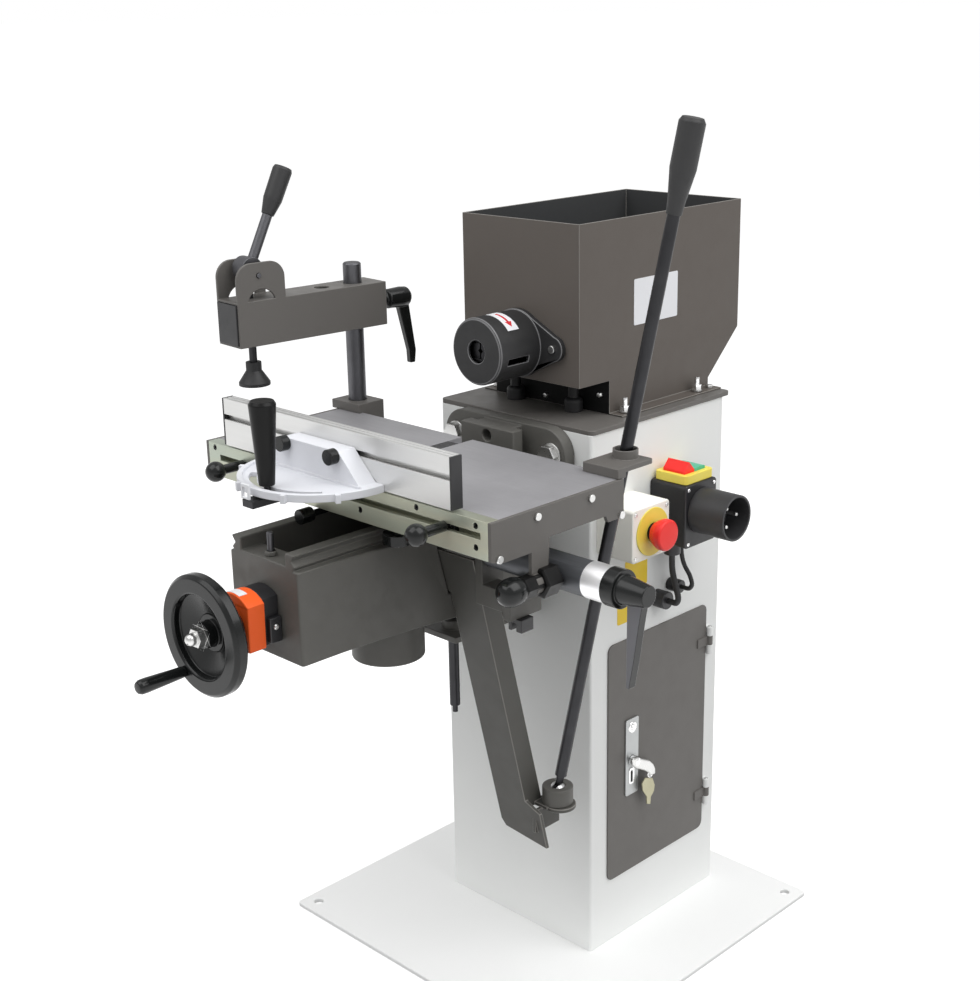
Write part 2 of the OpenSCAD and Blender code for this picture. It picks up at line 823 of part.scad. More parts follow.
// Yellow disc round the emergency stop and yellow frame round the two push caps
module yellow_bezels() {
    x1 = cab_x + switch_out;
    color("gold") difference() {
        bar_along_x(x1, x1 + 1.5, estop_y + 2, estop_z, 2 * estop_disc_r);
        bar_along_x(x1 - past, x1 + 3, estop_y + 2, estop_z, 22);
    }
    color("gold") difference() {
        slab_z(switch_z1, switch_z1 + bezel_t) soft_rect(cab_x + 4, x1 - 3, switch_y0 + 4, switch_y1 - 3, 5);
        block(cap_x0(), cap_x1(), cap_y0() - cap_gap, cap_y2() + cap_gap, switch_z1 - past, switch_z1 + bezel_t + past);
    }
}
function cap_x0() = cab_x + 12;
function cap_x1() = cab_x + switch_out - 11;
function cap_y0() = switch_y0 + 11;
function cap_y1() = (switch_y0 + switch_y1) / 2;
function cap_y2() = switch_y1 - 10;

// Push cap with a sloped top, from y0 to y1
module push_cap(y0, y1, rise, slope0, slope1) {
    x0 = cap_x0() + cap_gap;
    x1 = cap_x1() - cap_gap;
    z1 = switch_z1 + bezel_t;
    slab_x(x0, x1) polygon([[y0, switch_z1 + 2], [y1, switch_z1 + 2], [y1, z1 + slope1],
        [(y0 + y1) / 2, z1 + rise], [y0, z1 + slope0]]);
}
module stop_button() {
    color("red") push_cap(cap_y0(), cap_y1() - cap_gap, 14, 3, 3);
}
module start_button() {
    color("seagreen") push_cap(cap_y1(), cap_y2(), 5, 3, 3);
}

module estop_button() {
    x1 = cab_x + switch_out + 1.5;
    head_x = x1 + 5;
    color("#202022") bar_along_x(x1 - 18, head_x, estop_y + 2, estop_z, 20);
    color("red") turned_x(head_x, estop_y + 2, estop_z) polygon([
        [0, 0], [14, 0], [16, 3], [20, 11], [20, 18], [18, 20], [0, 21]]);
}

// Cable glands below the switch box and on the cabinet's side
gland_x = cab_x + 19;
gland_a = [gland_x, switch_y0 + 24, switch_z0];
gland_b = [gland_x, switch_y0 + 44, switch_z0];
exit_a = [cab_x, switch_y0 + 16, switch_z0 - 84];
exit_b = [cab_x, switch_y0 + 44, switch_z0 - 72];
gland_len = 20;
module cable_glands() {
    color("#1b1b1d") {
        bar_along_z(gland_a[2] - gland_len, gland_a[2], gland_a[0], gland_a[1], 22);
        bar_along_z(gland_b[2] - gland_len + 6, gland_b[2], gland_b[0], gland_b[1], 14);
        bar_along_x(cab_x, cab_x + gland_len, exit_a[1], exit_a[2], 24);
        bar_along_x(cab_x, cab_x + gland_len, exit_b[1], exit_b[2], 18);
    }
}

// Routes of the two leads from the switch box's glands to the cabinet's side
lead_at = [cab_x, switch_y0, switch_z0];
LEAD_A = [for (p = [[19, 24, -20], [19, 24, -28], [21, 23, -44], [28, 21, -62], [35, 18, -76],
    [34, 16, -83], [28, 16, -84], [20, 16, -84]]) lead_at + p];
LEAD_B = [for (p = [[19, 44, -14], [19, 44, -24], [22, 46, -40], [30, 48, -54], [35, 47, -65],
    [33, 45, -71], [28, 44, -72], [20, 44, -72]]) lead_at + p];

// Round tube with flat facets along a list of points
function side_dir(p, i) =
    let (n = len(p), a = p[max(i - 1, 0)], b = p[min(i + 1, n - 1)], t = (b - a) / norm(b - a),
        u = cross(t, [0.3, 1, 0.2]))
    [u / norm(u), cross(t, u / norm(u))];
module tube_along(p, r, sides) {
    n = len(p);
    pts = [for (i = [0 : n - 1]) let (d = side_dir(p, i)) for (k = [0 : sides - 1])
        p[i] + r * (cos(360 * k / sides) * d[0] + sin(360 * k / sides) * d[1])];
    rings = [for (i = [0 : n - 2]) for (k = [0 : sides - 1])
        [i * sides + k, i * sides + (k + 1) % sides, (i + 1) * sides + (k + 1) % sides, (i + 1) * sides + k]];
    tri = [for (q = rings) for (h = [0, 1]) h == 0 ? [q[0], q[1], q[2]] : [q[0], q[2], q[3]]];
    cap0 = [for (k = [1 : sides - 2]) [0, k + 1, k]];
    cap1 = [for (k = [1 : sides - 2]) [(n - 1) * sides, (n - 1) * sides + k, (n - 1) * sides + k + 1]];
    polyhedron(points = pts, faces = concat(tri, cap0, cap1));
}
module switch_leads() {
    color("#151516") tube_along(LEAD_A, 4, 8);
    color("#151516") tube_along(LEAD_B, 3, 8);
}

module door() {
    strap_h = hinge_len / 3 - play;
    color("#5c5c5a") difference() {
        slab_x(cab_x + play, cab_x + play + door_t) soft_rect(door_y0, door_y1, door_z0, door_z1, door_r);
        bar_along_x(cab_x - past, cab_x + 9, lock_y, lock_pin_z, 2 * lock_pin_r + 2);
    }
    color("#5c5c5a") for (z = hinge_zs) {
        difference() {
            union() {
                bar_along_z(z - strap_h / 2, z + strap_h / 2, hinge_x, hinge_y, 2 * hinge_r + 3);
                block(cab_x + play + door_t, cab_x + play + door_t + 2, door_y1 - 20, hinge_y,
                    z - strap_h / 2, z + strap_h / 2);
            }
            bar_along_z(z - strap_h, z + strap_h, hinge_x, hinge_y, 2 * hinge_r);
        }
    }
}

module door_lock() {
    x0 = cab_x + play + door_t;
    color("silver") difference() {
        slab_x(x0, x0 + lock_t) soft_rect(lock_y - lock_w / 2, lock_y + lock_w / 2,
            lock_z - lock_h / 2, lock_z + lock_h / 2, 4);
        bar_along_x(x0 - past, x0 + lock_t + past, lock_y, lock_pin_z, 2 * (lock_pin_r + run));
    }
}

module lock_handle() {
    x0 = cab_x + play + door_t + lock_t + play;
    color("silver") {
        bar_along_x(cab_x + play - 4, x0 + 16, lock_y, lock_pin_z, 2 * lock_pin_r);
        bar_along_x(x0, x0 + 16, lock_y, lock_pin_z, 15);
        slab_x(x0 + 8, x0 + 14) union() {
            translate([lock_y, lock_pin_z - 6]) square([26, 12]);
            translate([lock_y + 26, lock_pin_z]) circle(6);
            translate([lock_y + 20, lock_pin_z - 26]) square([12, 26]);
        }
        slab_x(x0 + 14 + snug, x0 + 16) union() {
            translate([lock_y + 26, lock_pin_z - 30]) circle(8);
            translate([lock_y + 23, lock_pin_z - 60]) square([6, 30]);
        }
    }
}

module motor_shaft() {
    color("silver") {
        bar_along_y(chuck_y0 + jaw_deep + 8, cowl_y1 - 8, spin_x, spin_z, shaft_d);
        bar_along_y(stator_y0 + 14, stator_y1 - 14, spin_x, spin_z, 2 * core_r);
    }
    color("#26262a") difference() {
        union() {
            bar_along_y(rear_y1 + 6, rear_y1 + 10, spin_x, spin_z, 2 * fan_r);
            bar_along_y(rear_y1 + 6, rear_y1 + 24, spin_x, spin_z, shaft_d + 14);
            for (a = [0 : 45 : 315])
                translate([spin_x, 0, spin_z]) rotate([0, a, 0])
                    block(shaft_d / 2 + 4, fan_r - 2, rear_y1 + 8, rear_y1 + 28, -1, 1);
        }
        bar_along_y(rear_y1, cowl_y1, spin_x, spin_z, shaft_d + 2 * snug);
    }
}

module chuck_body() {
    color("#77777a") difference() {
        union() {
            bar_along_y(chuck_y0, chuck_y1 - 14, spin_x, spin_z, chuck_d);
            bar_along_y(chuck_y1 - 16, chuck_y1, spin_x, spin_z, 42);
        }
        bar_along_y(chuck_y0 + jaw_deep + 8 - snug, chuck_y1 + past, spin_x, spin_z, shaft_d + 2 * snug);
        bar_along_y(chuck_y0 - past, chuck_y1, spin_x, spin_z, 16);
        block(spin_x - chuck_d, spin_x + chuck_d, chuck_y0 - past, chuck_y0 + jaw_deep,
            spin_z - jaw_h / 2, spin_z + jaw_h / 2);
    }
}

// Chuck jaw that lies on one side of the spindle, side is -1 or 1
module chuck_jaw(side) {
    half = jaw_h / 2 - 0.1;
    color("#9a9a9d") translate([spin_x, 0, spin_z]) difference() {
        slab_y(chuck_y0 + 0.5, chuck_y0 + jaw_deep - 0.2) scale_side(side) polygon([
            [1, -half], [1 + jaw_len, -half], [1 + jaw_len, half], [1, half], [1, 3], [4, 0], [1, -3]]);
    }
}
module scale_side(side) {
    mirror([side < 0 ? 1 : 0, 0]) children();
}
module chuck_jaw_left() {
    chuck_jaw(-1);
}
module chuck_jaw_right() {
    chuck_jaw(1);
}

// Plan of the knee casting, drawn a given distance inside its outer face
module knee_plan(d) {
    corner = max(1.5, 4 - d);
    fx = knee_fx - d;
    bx = knee_bx - d;
    y0 = knee_y0 + d;
    y1 = knee_y1 - d;
    polygon(concat(
        [for (a = [180 : 15 : 270]) [-fx + corner + corner * cos(a), y0 + corner + corner * sin(a)]],
        [for (a = [270 : 15 : 360]) [fx - corner + corner * cos(a), y0 + corner + corner * sin(a)]],
        [for (t = [0.25 : 0.25 : 1]) [fx + (bx - fx) * t * t, y0 + corner + (-185 - y0 - corner) * t]],
        [[bx, y1], [-bx, y1]],
        [for (t = [1 : -0.25 : 0.25]) [-fx - (bx - fx) * t * t, y0 + corner + (-185 - y0 - corner) * t]]));
}

// Back face of the lever arm's web at a height
function arm_back(z) = arm_top_y + (arm_top_z - z) * tan(arm_lean) + arm_t / cos(arm_lean);

module knee() {
    pad_z0 = arm_top_z - 58;
    color("#5f5e58") difference() {
        union() {
            slab_z(knee_z0, knee_top) knee_plan(0);
            block(-way_in - past, way_in + past, knee_y0, knee_y1, knee_top - past, shelf_z);
            block(-jaw_x, jaw_x, knee_y1 - past, lip_back, knee_z0, jaw_top);
            for (s = [-1, 1])
                way_rail(s);
        }
        slab_z(knee_z0 + knee_wall, pocket_z - knee_wall) knee_plan(knee_wall);
        block(-way_in, way_in, shelf_y1, knee_y1 - 6, pocket_z, rail_top + past);
        block(-head_x - way_gap, head_x + way_gap, head_front, head_back, knee_z0 - past, jaw_top + past);
        block(-neck_x - way_gap, neck_x + way_gap, head_back - past, past, knee_z0 - past, jaw_top + past);
        slab_x(arm_x0 - 18, knee_bx + past) polygon([
            [arm_back(pad_z0) - arm_t - past, pad_z0], [arm_back(knee_top) - arm_t - past, knee_top + past],
            [arm_back(knee_top) + play, knee_top + past], [arm_back(pad_z0) + play, pad_z0]]);
        bar_along_y(knee_y0 - past, knee_y0 + 40, 0, wheel_z, wheel_shaft_d + 2 * run);
        bar_along_z(knee_z0 - past, knee_z0 + knee_wall + past, 0, screw_y, journal_d + 2 * run);
        bar_along_z(knee_top - 20 - snug, shelf_z + past, 0, stud_y, stud_d + 2 * snug);
    }
    color("#5f5e58") difference() {
        slab_x(knee_fx - 8, arm_x0) polygon([[arm_back(pad_z0) + play, pad_z0], [arm_back(arm_top_z) + play, arm_top_z],
            [-150, arm_top_z], [-150, pad_z0]]);
        slab_z(knee_z0 - past, knee_top + past) knee_plan(0);
    }
    color("#5f5e58") difference() {
        block(-34, 34, screw_y - 52, screw_y - 42, knee_z0 + knee_wall, pocket_z - knee_wall);
        bar_along_y(screw_y - 60, screw_y, 0, wheel_z, wheel_shaft_d + 2 * run);
    }
    color("silver") bar_along_z(knee_top - 20, shelf_z + 28, 0, stud_y, stud_d);
    color("silver") difference() {
        translate([0, stud_y, shelf_z + snug]) cylinder(h = 6, d = 15, $fn = 6);
        bar_along_z(shelf_z, shelf_z + 7, 0, stud_y, stud_d + 2 * snug);
    }
}

// One of the two ways on the knee, with a V groove along its outside
module way_rail(s) {
    mirror([s < 0 ? 1 : 0, 0, 0]) slab_y(knee_y0, knee_y1) polygon([
        [way_in, knee_top - past], [way_out - 3, knee_top - past], [way_out - 3, knee_top + 2], [way_out, knee_top + 5],
        [way_out - 6, knee_top + 11], [way_out, rail_top], [way_in, rail_top]]);
}

module lever_arm() {
    t = arm_t / cos(arm_lean);
    tab_z0 = arm_top_z - 48;
    foot_z1 = ball_z - 21;
    color("#5f5e58") difference() {
        union() {
            intersection() {
                slab_x(arm_x0 - 18, foot_x1) polygon([
                    [arm_back(arm_low_z) - t, arm_low_z], [arm_back(arm_top_z) - t, arm_top_z],
                    [arm_back(arm_top_z), arm_top_z], [arm_back(arm_low_z), arm_low_z]]);
                slab_y(-300, 0) polygon([
                    [arm_x0 - 18, tab_z0], [arm_x0, tab_z0 - 8], [arm_x0, arm_low_z + 18], [arm_x0 + 6, arm_low_z + 8],
                    [foot_x1, arm_low_z], [foot_x1, foot_z1], [arm_x1, foot_z1 + 12], [arm_x1, arm_top_z],
                    [arm_x0 - 18, arm_top_z]]);
            }
            slab_x(arm_x1 - arm_t, arm_x1) polygon([
                [arm_back(arm_top_z) - 1, arm_top_z], [arm_back(arm_top_z) + 24, arm_top_z - 6],
                [arm_back(foot_z1) + 24, foot_z1], [arm_back(foot_z1) - 1, foot_z1]]);
            slab_z(foot_z1, foot_z1 + 5) union() {
                translate([arm_x1 - arm_t, ball_y - 20]) square([ball_x - arm_x1 + arm_t, 40]);
                translate([ball_x + 4, ball_y]) circle(20);
            }
            block(foot_x1 - 14, foot_x1 - 14 + arm_t, arm_back(foot_z1) - 3, ball_y + 12, foot_z1 - 30, foot_z1 + 1);
        }
        bar_along_z(foot_z1 - past, foot_z1 + 6, ball_x, ball_y, 8);
    }
}

module pivot_cup() {
    color("#66655f") difference() {
        bar_along_z(cup_z0, cup_z1, ball_x, ball_y, 2 * cup_out);
        translate([ball_x, ball_y, ball_z]) sphere(ball_r + run);
        bar_along_z(ball_z, cup_z1 + past, ball_x, ball_y, 2 * sqrt(pow(ball_r, 2) - 36));
        bar_along_y(ball_y - trunnion_y - play, ball_y + trunnion_y + play, ball_x, ball_z, trunnion_d + 2 * run);
    }
}

module lift_housing() {
    color("#5a5a56") difference() {
        bar_along_z(knee_z0 - cup_h, knee_z0, 0, cup_y, 2 * cup_r);
        bar_along_z(knee_z0 - cup_h + 6, knee_z0 + past, 0, cup_y, 2 * cup_r - 14);
    }
}

module depth_counter() {
    y0 = counter_y1 - counter_base_t;
    face = counter_w / 2;
    color("#202022") difference() {
        slab_y(y0, counter_y1) soft_rect(-face + 2, face - 2, wheel_z - 28, wheel_z + 32, 8);
        bar_along_y(y0 - past, counter_y1 + past, 0, wheel_z, wheel_shaft_d + 2);
    }
    color("darkorange") difference() {
        slab_y(y0 - counter_t, y0 - snug) union() {
            soft_rect(-face, face, wheel_z - 21, wheel_z - 21 + counter_h, 12);
            translate([0, wheel_z]) circle(face);
        }
        bar_along_y(y0 - counter_t - past, y0 + past, 0, wheel_z, wheel_shaft_d + 2);
    }
}

module stop_bracket() {
    rest_x0 = bar_x0 + 47;
    rest_x1 = rest_x0 + cheek_t;
    front = bar_y - 20;
    color("#5f5e58") {
        slab_x(arm_x1, bar_x0 - play) union() {
            translate([bar_y, bar_z]) circle(20);
            translate([front, bracket_z0]) square([36, bar_z - bracket_z0]);
        }
        bar_along_x(bar_x0 - past, bar_x1 + 12, bar_y, bar_z, spindle_d);
        block(bar_x0 - past, rest_x1, front, bar_y + 6, bracket_z0, bracket_z0 + 26);
        block(rest_x0, rest_x1, bar_y - 36, bar_y + 16, bracket_z0, bar_z - bar_d / 2 - 0.5);
    }
    color("#1d1d1f") difference() {
        block(rest_x0 - 3, rest_x1 + 6, front - 4, bar_y - 4, bracket_z0 - 16, bracket_z0 - snug);
        block(rest_x0 + 2, rest_x0 + 9, bar_y - 30, bar_y, bracket_z0 - 20, bracket_z0 - 6);
    }
}

module stop_bar() {
    x2 = bar_x1 - ring_len;
    bore = spindle_d + 2 * run;
    color("#1c1c1e") difference() {
        bar_along_x(bar_x0 + play, x2, bar_y, bar_z, bar_d);
        bar_along_x(bar_x0 - past, x2 + past, bar_y, bar_z, bore);
        block(bar_x0 - past, x2 + past, bar_y - bar_d, bar_y + bar_d, bar_z + bar_d / 2 - 5, bar_z + bar_d);
    }
    color("silver") difference() {
        bar_along_x(x2 + snug, bar_x1, bar_y, bar_z, bar_d);
        bar_along_x(x2 - past, bar_x1 + past, bar_y, bar_z, bore);
    }
}

module stop_bar_lever() {
    hub_x0 = lever_hub_x0 + lever_flange_t;
    hub_x1 = hub_x0 + lever_hub_len;
    color("#19191b") difference() {
        union() {
            bar_along_x(bar_x1, hub_x0, bar_y, bar_z, bar_d + 2);
            turned_x(hub_x0, bar_y, bar_z) polygon([[0, 0], [17, 0], [12, lever_hub_len], [0, lever_hub_len]]);
        }
        bar_along_x(bar_x1 - past, bar_x1 + 14, bar_y, bar_z, spindle_d + 2 * run);
    }
    color("#19191b") translate([hub_x1, bar_y, bar_z]) slab_y(-6, 6) polygon([
        [-25, 0], [-2, 0], [-6, -16], [-9, -32], [-12, -52], [-16, -78], [-21, -104], [-22, -111], [-26, -110]]);
}

// Handwheel's profile: radius from its axle, height from its back face
module wheel_profile() {
    rim_in = wheel_r - 22;
    difference() {
        union() {
            polygon([[rim_in, 2], [rim_in, 16], [rim_in + 2, 18], [wheel_r - 4, 18], [wheel_r, 14], [wheel_r, 4],
                [wheel_r - 4, 0], [rim_in + 2, 0]]);
            polygon([[rim_in + 1, 2], [rim_in + 1, 9], [hub_r - 1, -2], [hub_r - 1, -9]]);
            translate([0, -29]) square([hub_r, 30]);
            square([hub_r - 7, 14]);
        }
        translate([-past, -40]) square([wheel_shaft_d / 2 + past, 80]);
    }
}
module handwheel() {
    color("#161618") translate([0, wheel_y1, wheel_z]) rotate([90, 0, 0]) rotate_extrude() wheel_profile();
    color("silver") bar_along_y(wheel_y0 - 5 - crank_len, wheel_y1 - 10, pin_x, pin_z, crank_pin_d);
}

module handwheel_shaft() {
    nut_r = 7;
    gear_y = screw_y - gear_r;
    hub_front = wheel_y1 - 14;
    color("silver") {
        bar_along_y(hub_front, gear_y, 0, wheel_z, wheel_shaft_d);
        bar_along_y(knee_y0 + knee_wall + 8, knee_y0 + knee_wall + 14, 0, wheel_z, wheel_shaft_d + 8);
        turned_y(0, gear_y - 6, wheel_z) polygon([[0, 0], [gear_r - gear_play, 0],
            [gear_r - gear_play, 5.5], [gear_r - gear_t - gear_play, gear_t + 5.5], [0, gear_t + 5.5]]);
        translate([0, hub_front, wheel_z]) rotate([90, 0, 0]) cylinder(h = 9, d = 23, $fn = 6);
        translate([0, hub_front - 9, wheel_z]) rotate([90, 0, 0]) rotate_extrude() polygon(concat(
            [[0, -past], [nut_r, -past]],
            [for (a = [0 : 15 : 75]) [nut_r * cos(a), 4 + nut_r * sin(a)]],
            [[0, 4 + nut_r]]));
    }
}

module crank_handle() {
    color("#161618") translate([pin_x, wheel_y0 - play, pin_z]) rotate([90, 0, 0]) rotate_extrude() difference() {
        polygon([[0, 0], [6, 0], [6.6, 4], [8.6, crank_len - 4], [8.4, crank_len + 3], [6.5, crank_len + 7],
            [0, crank_len + 8]]);
        translate([-past, -past]) square([crank_pin_d / 2 + run + past, crank_len + 7.5]);
    }
}

module lift_screw() {
    gear_z = wheel_z - gear_r;
    color("#202022") {
        bar_along_z(screw_low, gear_z, 0, screw_y, screw_d);
        bar_along_z(screw_low - 10, screw_low, 0, screw_y, 7);
        bar_along_z(knee_z0 - 8, knee_z0 - play, 0, screw_y, screw_d + 8);
        translate([0, screw_y, gear_z - 6]) rotate_extrude() polygon([[0, 0], [gear_r - gear_play, 0],
            [gear_r - gear_play, 5.5], [gear_r - gear_t - gear_play, gear_t + 5.5], [0, gear_t + 5.5]]);
        bar_along_z(knee_z0 + knee_wall + play, gear_z - 5, 0, screw_y, screw_d + 8);
    }
}

module saddle() {
    keeper_y0 = saddle_low_y0 + 4;
    keeper_y1 = -104;
    foot_z = rail_top + play;
    gib_x = way_out + 9;
    color("#5a5a57") difference() {
        union() {
            block(-saddle_x, saddle_x, saddle_y0, knee_y1 - 2, saddle_z1 - 12, saddle_z1);
            block(-gib_x, gib_x, saddle_low_y0, -100, foot_z, saddle_z1 - 11);
            for (s = [0, 1])
                mirror([s, 0, 0]) slab_y(keeper_y0, keeper_y1) polygon([
                    [gib_x, foot_z + past], [gib_x, knee_top + 1], [way_out + play, knee_top + 1],
                    [way_out + play, knee_top + 5], [way_out - 5.7, knee_top + 11], [way_out + play, rail_top],
                    [way_out + play, foot_z + past]]);
            for (y = [rod_front_y, rod_back_y])
                block(-saddle_x, saddle_x, y - rod_block, y + rod_block, saddle_z1 - past, rod_z + rod_block);
        }
        for (y = [rod_front_y, rod_back_y])
            bar_along_x(-saddle_x - past, saddle_x + past, y, rod_z, rod_d + 2 * run);
    }
    color("#1b1b1d") {
        bar_along_y(saddle_y0 - 30, saddle_y0 - snug, -30, saddle_z1 - 10, 7.8);
        bar_along_y(saddle_y0 - 46, saddle_y0 - 28, -30, saddle_z1 - 10, 18);
        bar_along_z(rail_top, saddle_z1 - 12 - snug, saddle_x - 6, saddle_y0 + 6, 8);
        bar_along_z(rail_top - 12, rail_top + past, saddle_x - 6, saddle_y0 + 6, 34);
    }
}

module table_top() {
    color("#74737a") difference() {
        block(top_x0, top_x1, table_y0 + rail_t, table_y1, under_z, table_z);
        block(slot_x - slot_w / 2, slot_x + slot_w / 2, table_y0 - past, table_y1 + past, table_z - slot_deep, table_z + past);
    }
}

module front_rail() {
    color("#a9a88a") difference() {
        block(top_x0, top_x1, table_y0, table_y0 + rail_t, table_z - rail_h, table_z);
        block(slot_x - slot_w / 2, slot_x + slot_w / 2, table_y0 - past, table_y0 + rail_t + past,
            table_z - slot_deep, table_z + past);
        block(groove_x0, groove_x1, table_y0 - past, table_y0 + groove_in + past, groove_z - groove_h / 2, groove_z + groove_h / 2);
        block(groove_x0, groove_x1, table_y0 + groove_in, table_y0 + groove_in + groove_cave_t,
            groove_z - groove_cave_h / 2, groove_z + groove_cave_h / 2);
        for (p = rail_screws)
            bar_along_y(table_y0 - past, table_y0 + 4, p[0], table_z + p[1], 7);
    }
}
// Side view of an end plate with its tabs
module end_outline(leg) {
    y0 = table_y0;
    y1 = table_y1 - 6;
    polygon(concat(
        [[y0, table_z], [y1, table_z], [y1, table_z - 41], [y1 - 4, table_z - 45], [y1 - 27, table_z - 45],
            [y1 - 31, table_z - 37], [y0 + 90, table_z - 37]],
        leg ? [[y0 + 87, table_z - 73], [y0 + 61, table_z - 73]] : [],
        [[y0 + 61, table_z - 48], [y0 + 15, table_z - 48], [y0, table_z - 43]]));
}
module end_plates() {
    color("#5f5e58") slab_x(table_x0, top_x0) end_outline(false);
    color("#5f5e58") difference() {
        union() {
            slab_x(top_x1, table_x1) end_outline(true);
            bar_along_y(sleeve_y0, sleeve_y1, depth_x, bar_z, 2 * sleeve_r);
        }
        bar_along_y(sleeve_y0 - past, sleeve_y1 + past, depth_x, bar_z, depth_d + 2 * run);
    }
}

module table_rods() {
    screw_yz = [[table_y0 + 11, -42], [table_y0 + 70, -9], [table_y0 + 157, -9], [table_y1 - 11, -41]];
    color("silver") for (y = [rod_front_y, rod_back_y])
        bar_along_x(top_x0, top_x1, y, rod_z, rod_d);
    color("gainsboro") for (p = screw_yz) {
        bar_along_x(table_x1, table_x1 + 3, p[0], table_z + p[1], 9);
        bar_along_x(table_x0 - 3, table_x0, p[0], table_z + p[1], 9);
    }
}

module depth_screw() {
    head_t = 13;
    knob_y = table_y0 + 32;
    color("#202022") {
        bar_along_y(knob_y, depth_y - play, depth_x, bar_z, depth_d);
        translate([depth_x, depth_y - play, bar_z]) rotate([90, 0, 0]) cylinder(h = head_t, d = 27, $fn = 6);
        translate([depth_x, knob_y, bar_z]) sphere(12);
    }
}

// Stop on the front rail: a nut in the groove, its stem and a ball knob
module rail_stop(x) {
    nut_y0 = table_y0 + groove_in + play;
    ball_yc = table_y0 - 41;
    color("#202022") {
        block(x - 9, x + 9, nut_y0, nut_y0 + groove_cave_t - 2 * play, groove_z - groove_cave_h / 2 + play,
            groove_z + groove_cave_h / 2 - play);
        bar_along_y(ball_yc, nut_y0 + past, x, groove_z, groove_h - 2 * play);
        bar_along_y(ball_yc + 8, table_y0 - play, x, groove_z, 12);
        translate([x, ball_yc, groove_z]) sphere(d = knob_d);
    }
}
module rail_stop_left() {
    rail_stop(table_x0 + 75);
}
module rail_stop_right() {
    rail_stop(table_x1 - 70);
}

// Bracket on the table's back corner with the ring that the joystick passes
module lever_bush() {
    ring_h = 14;
    plate_z0 = bush_z - 10;
    plate_z1 = bush_z - 4;
    x0 = bush_x - 26;
    x1 = top_x1 + 3;
    color("#66655f") difference() {
        union() {
            block(x0, x1, table_y1 - 14, table_y1, table_z, plate_z1);
            slab_z(plate_z0, plate_z1) soft_rect(x0, x1, table_y1 - 14, bush_y + 18, 4);
        }
        bar_along_z(plate_z0 - past, plate_z1 + past, bush_x, bush_y, 2 * bush_r);
    }
    color("#66655f") translate([bush_x, bush_y, bush_z]) rotate_extrude() polygon(concat(
        [[bush_r, ring_h / 2], [bush_r, -10]],
        [for (h = [-10, -6, -3, 0, 3, 5, ring_h / 2]) [bush_bore + 2 * pow(h / 10, 2), h]]));
}

module clamp_base() {
    w = 55;
    color("#5f5e58") difference() {
        union() {
            block(post_x - w / 2, post_x + w / 2, table_y1, post_y + 22, table_z - 26, table_z + 12);
            block(post_x - w / 2, post_x + w / 2, table_y1 - 8, table_y1 + past, table_z, table_z + 12);
        }
        bar_along_z(table_z - 27, table_z + 13, post_x, post_y, post_d + 2 * run);
    }
}

// Frame of the clamp: its own X across the arm and its own Y along it, turned about the post
module at_post() {
    translate([post_x, post_y, 0]) rotate([0, 0, swivel]) children();
}

module clamp_post() {
    color("#3d3c3c") at_post() translate([0, 0, table_z - 34]) rotate_extrude() polygon([
        [0, 0], [post_r + 5, 0], [post_r + 5, 8 - play], [post_r, 8 - play],
        [post_r, post_up + 32], [post_r - 2, post_up + 34], [0, post_up + 34]]);
}

module clamp_arm() {
    u = arm_w / 2;
    ear_t = 4;
    color("#6b6a64") at_post() difference() {
        union() {
            block(-u, u, arm_front, arm_rear, arm_z0, arm_z1);
            for (s = [-1, 1])
                slab_x(s < 0 ? -u : u - ear_t, s < 0 ? ear_t - u : u) cam_ear();
        }
        block(-u + arm_wall, u - arm_wall, arm_front + 4, -post_r - 8, arm_z0 + arm_wall, arm_z1 - arm_wall);
        block(-u + arm_wall, u - arm_wall, arm_front - past, arm_front + 3, arm_z0 + arm_wall, arm_z1 - arm_wall);
        bar_along_z(arm_z0 - past, arm_z1 + past, 0, 0, post_d + 2 * run);
        bar_along_y(post_r - 2, arm_rear + past, 0, grip_pin_z, 10);
        bar_along_z(arm_z1 - 20, arm_z1 + past, 0, -49, 20);
        bar_along_z(arm_z0 - past, arm_z1 + past, 0, plunger_v, 2 * (plunger_r + run));
        bar_along_x(-u - past, u + past, plunger_v, pivot_z, 2 * (cam_pin_r + run));
    }
    color("#202022") at_post() block(-u + arm_wall + snug, u - arm_wall - snug, arm_front - 2,
        arm_front + 3 - snug, arm_z0 + arm_wall + snug, arm_z1 - arm_wall - snug);
}
// Side view of one ear over the cam, with its arched cut-out
module cam_ear() {
    y0 = plunger_v - 32;
    y1 = plunger_v + 38;
    corner_z = arm_z1 + 26;
    difference() {
        union() {
            translate([y0, arm_z1 - past]) square([y1 - y0, corner_z - arm_z1 + past]);
            for (y = [y0 + cheek_r, y1 - cheek_r])
                translate([y, corner_z]) circle(cheek_r);
            translate([y0 + cheek_r, corner_z - past]) square([y1 - y0 - 2 * cheek_r, cheek_r + past]);
        }
        translate([plunger_v + 3, arm_z1 - 7]) circle(21);
    }
}

// Adjustable lever that clamps the arm on its post
module clamp_handle() {
    y0 = arm_rear + play;
    z0 = grip_pin_z;
    color("#17171a") at_post() {
        bar_along_y(post_r + 2, y0 + 4, 0, z0, 9.8);
        turned_y(0, y0, z0) polygon([[0, 0], [9, 0], [9, 15], [13, 18], [14, 40], [13, 50], [8, 55], [0, 55]]);
        slab_x(-4.5, 4.5) polygon([
            [y0 + 32, z0 + 4], [y0 + 51, z0 + 4], [y0 + 53, z0 - 15], [y0 + 62, z0 - 75], [y0 + 60, z0 - 92],
            [y0 + 52, z0 - 92], [y0 + 51, z0 - 75], [y0 + 36, z0 - 15]]);
    }
}

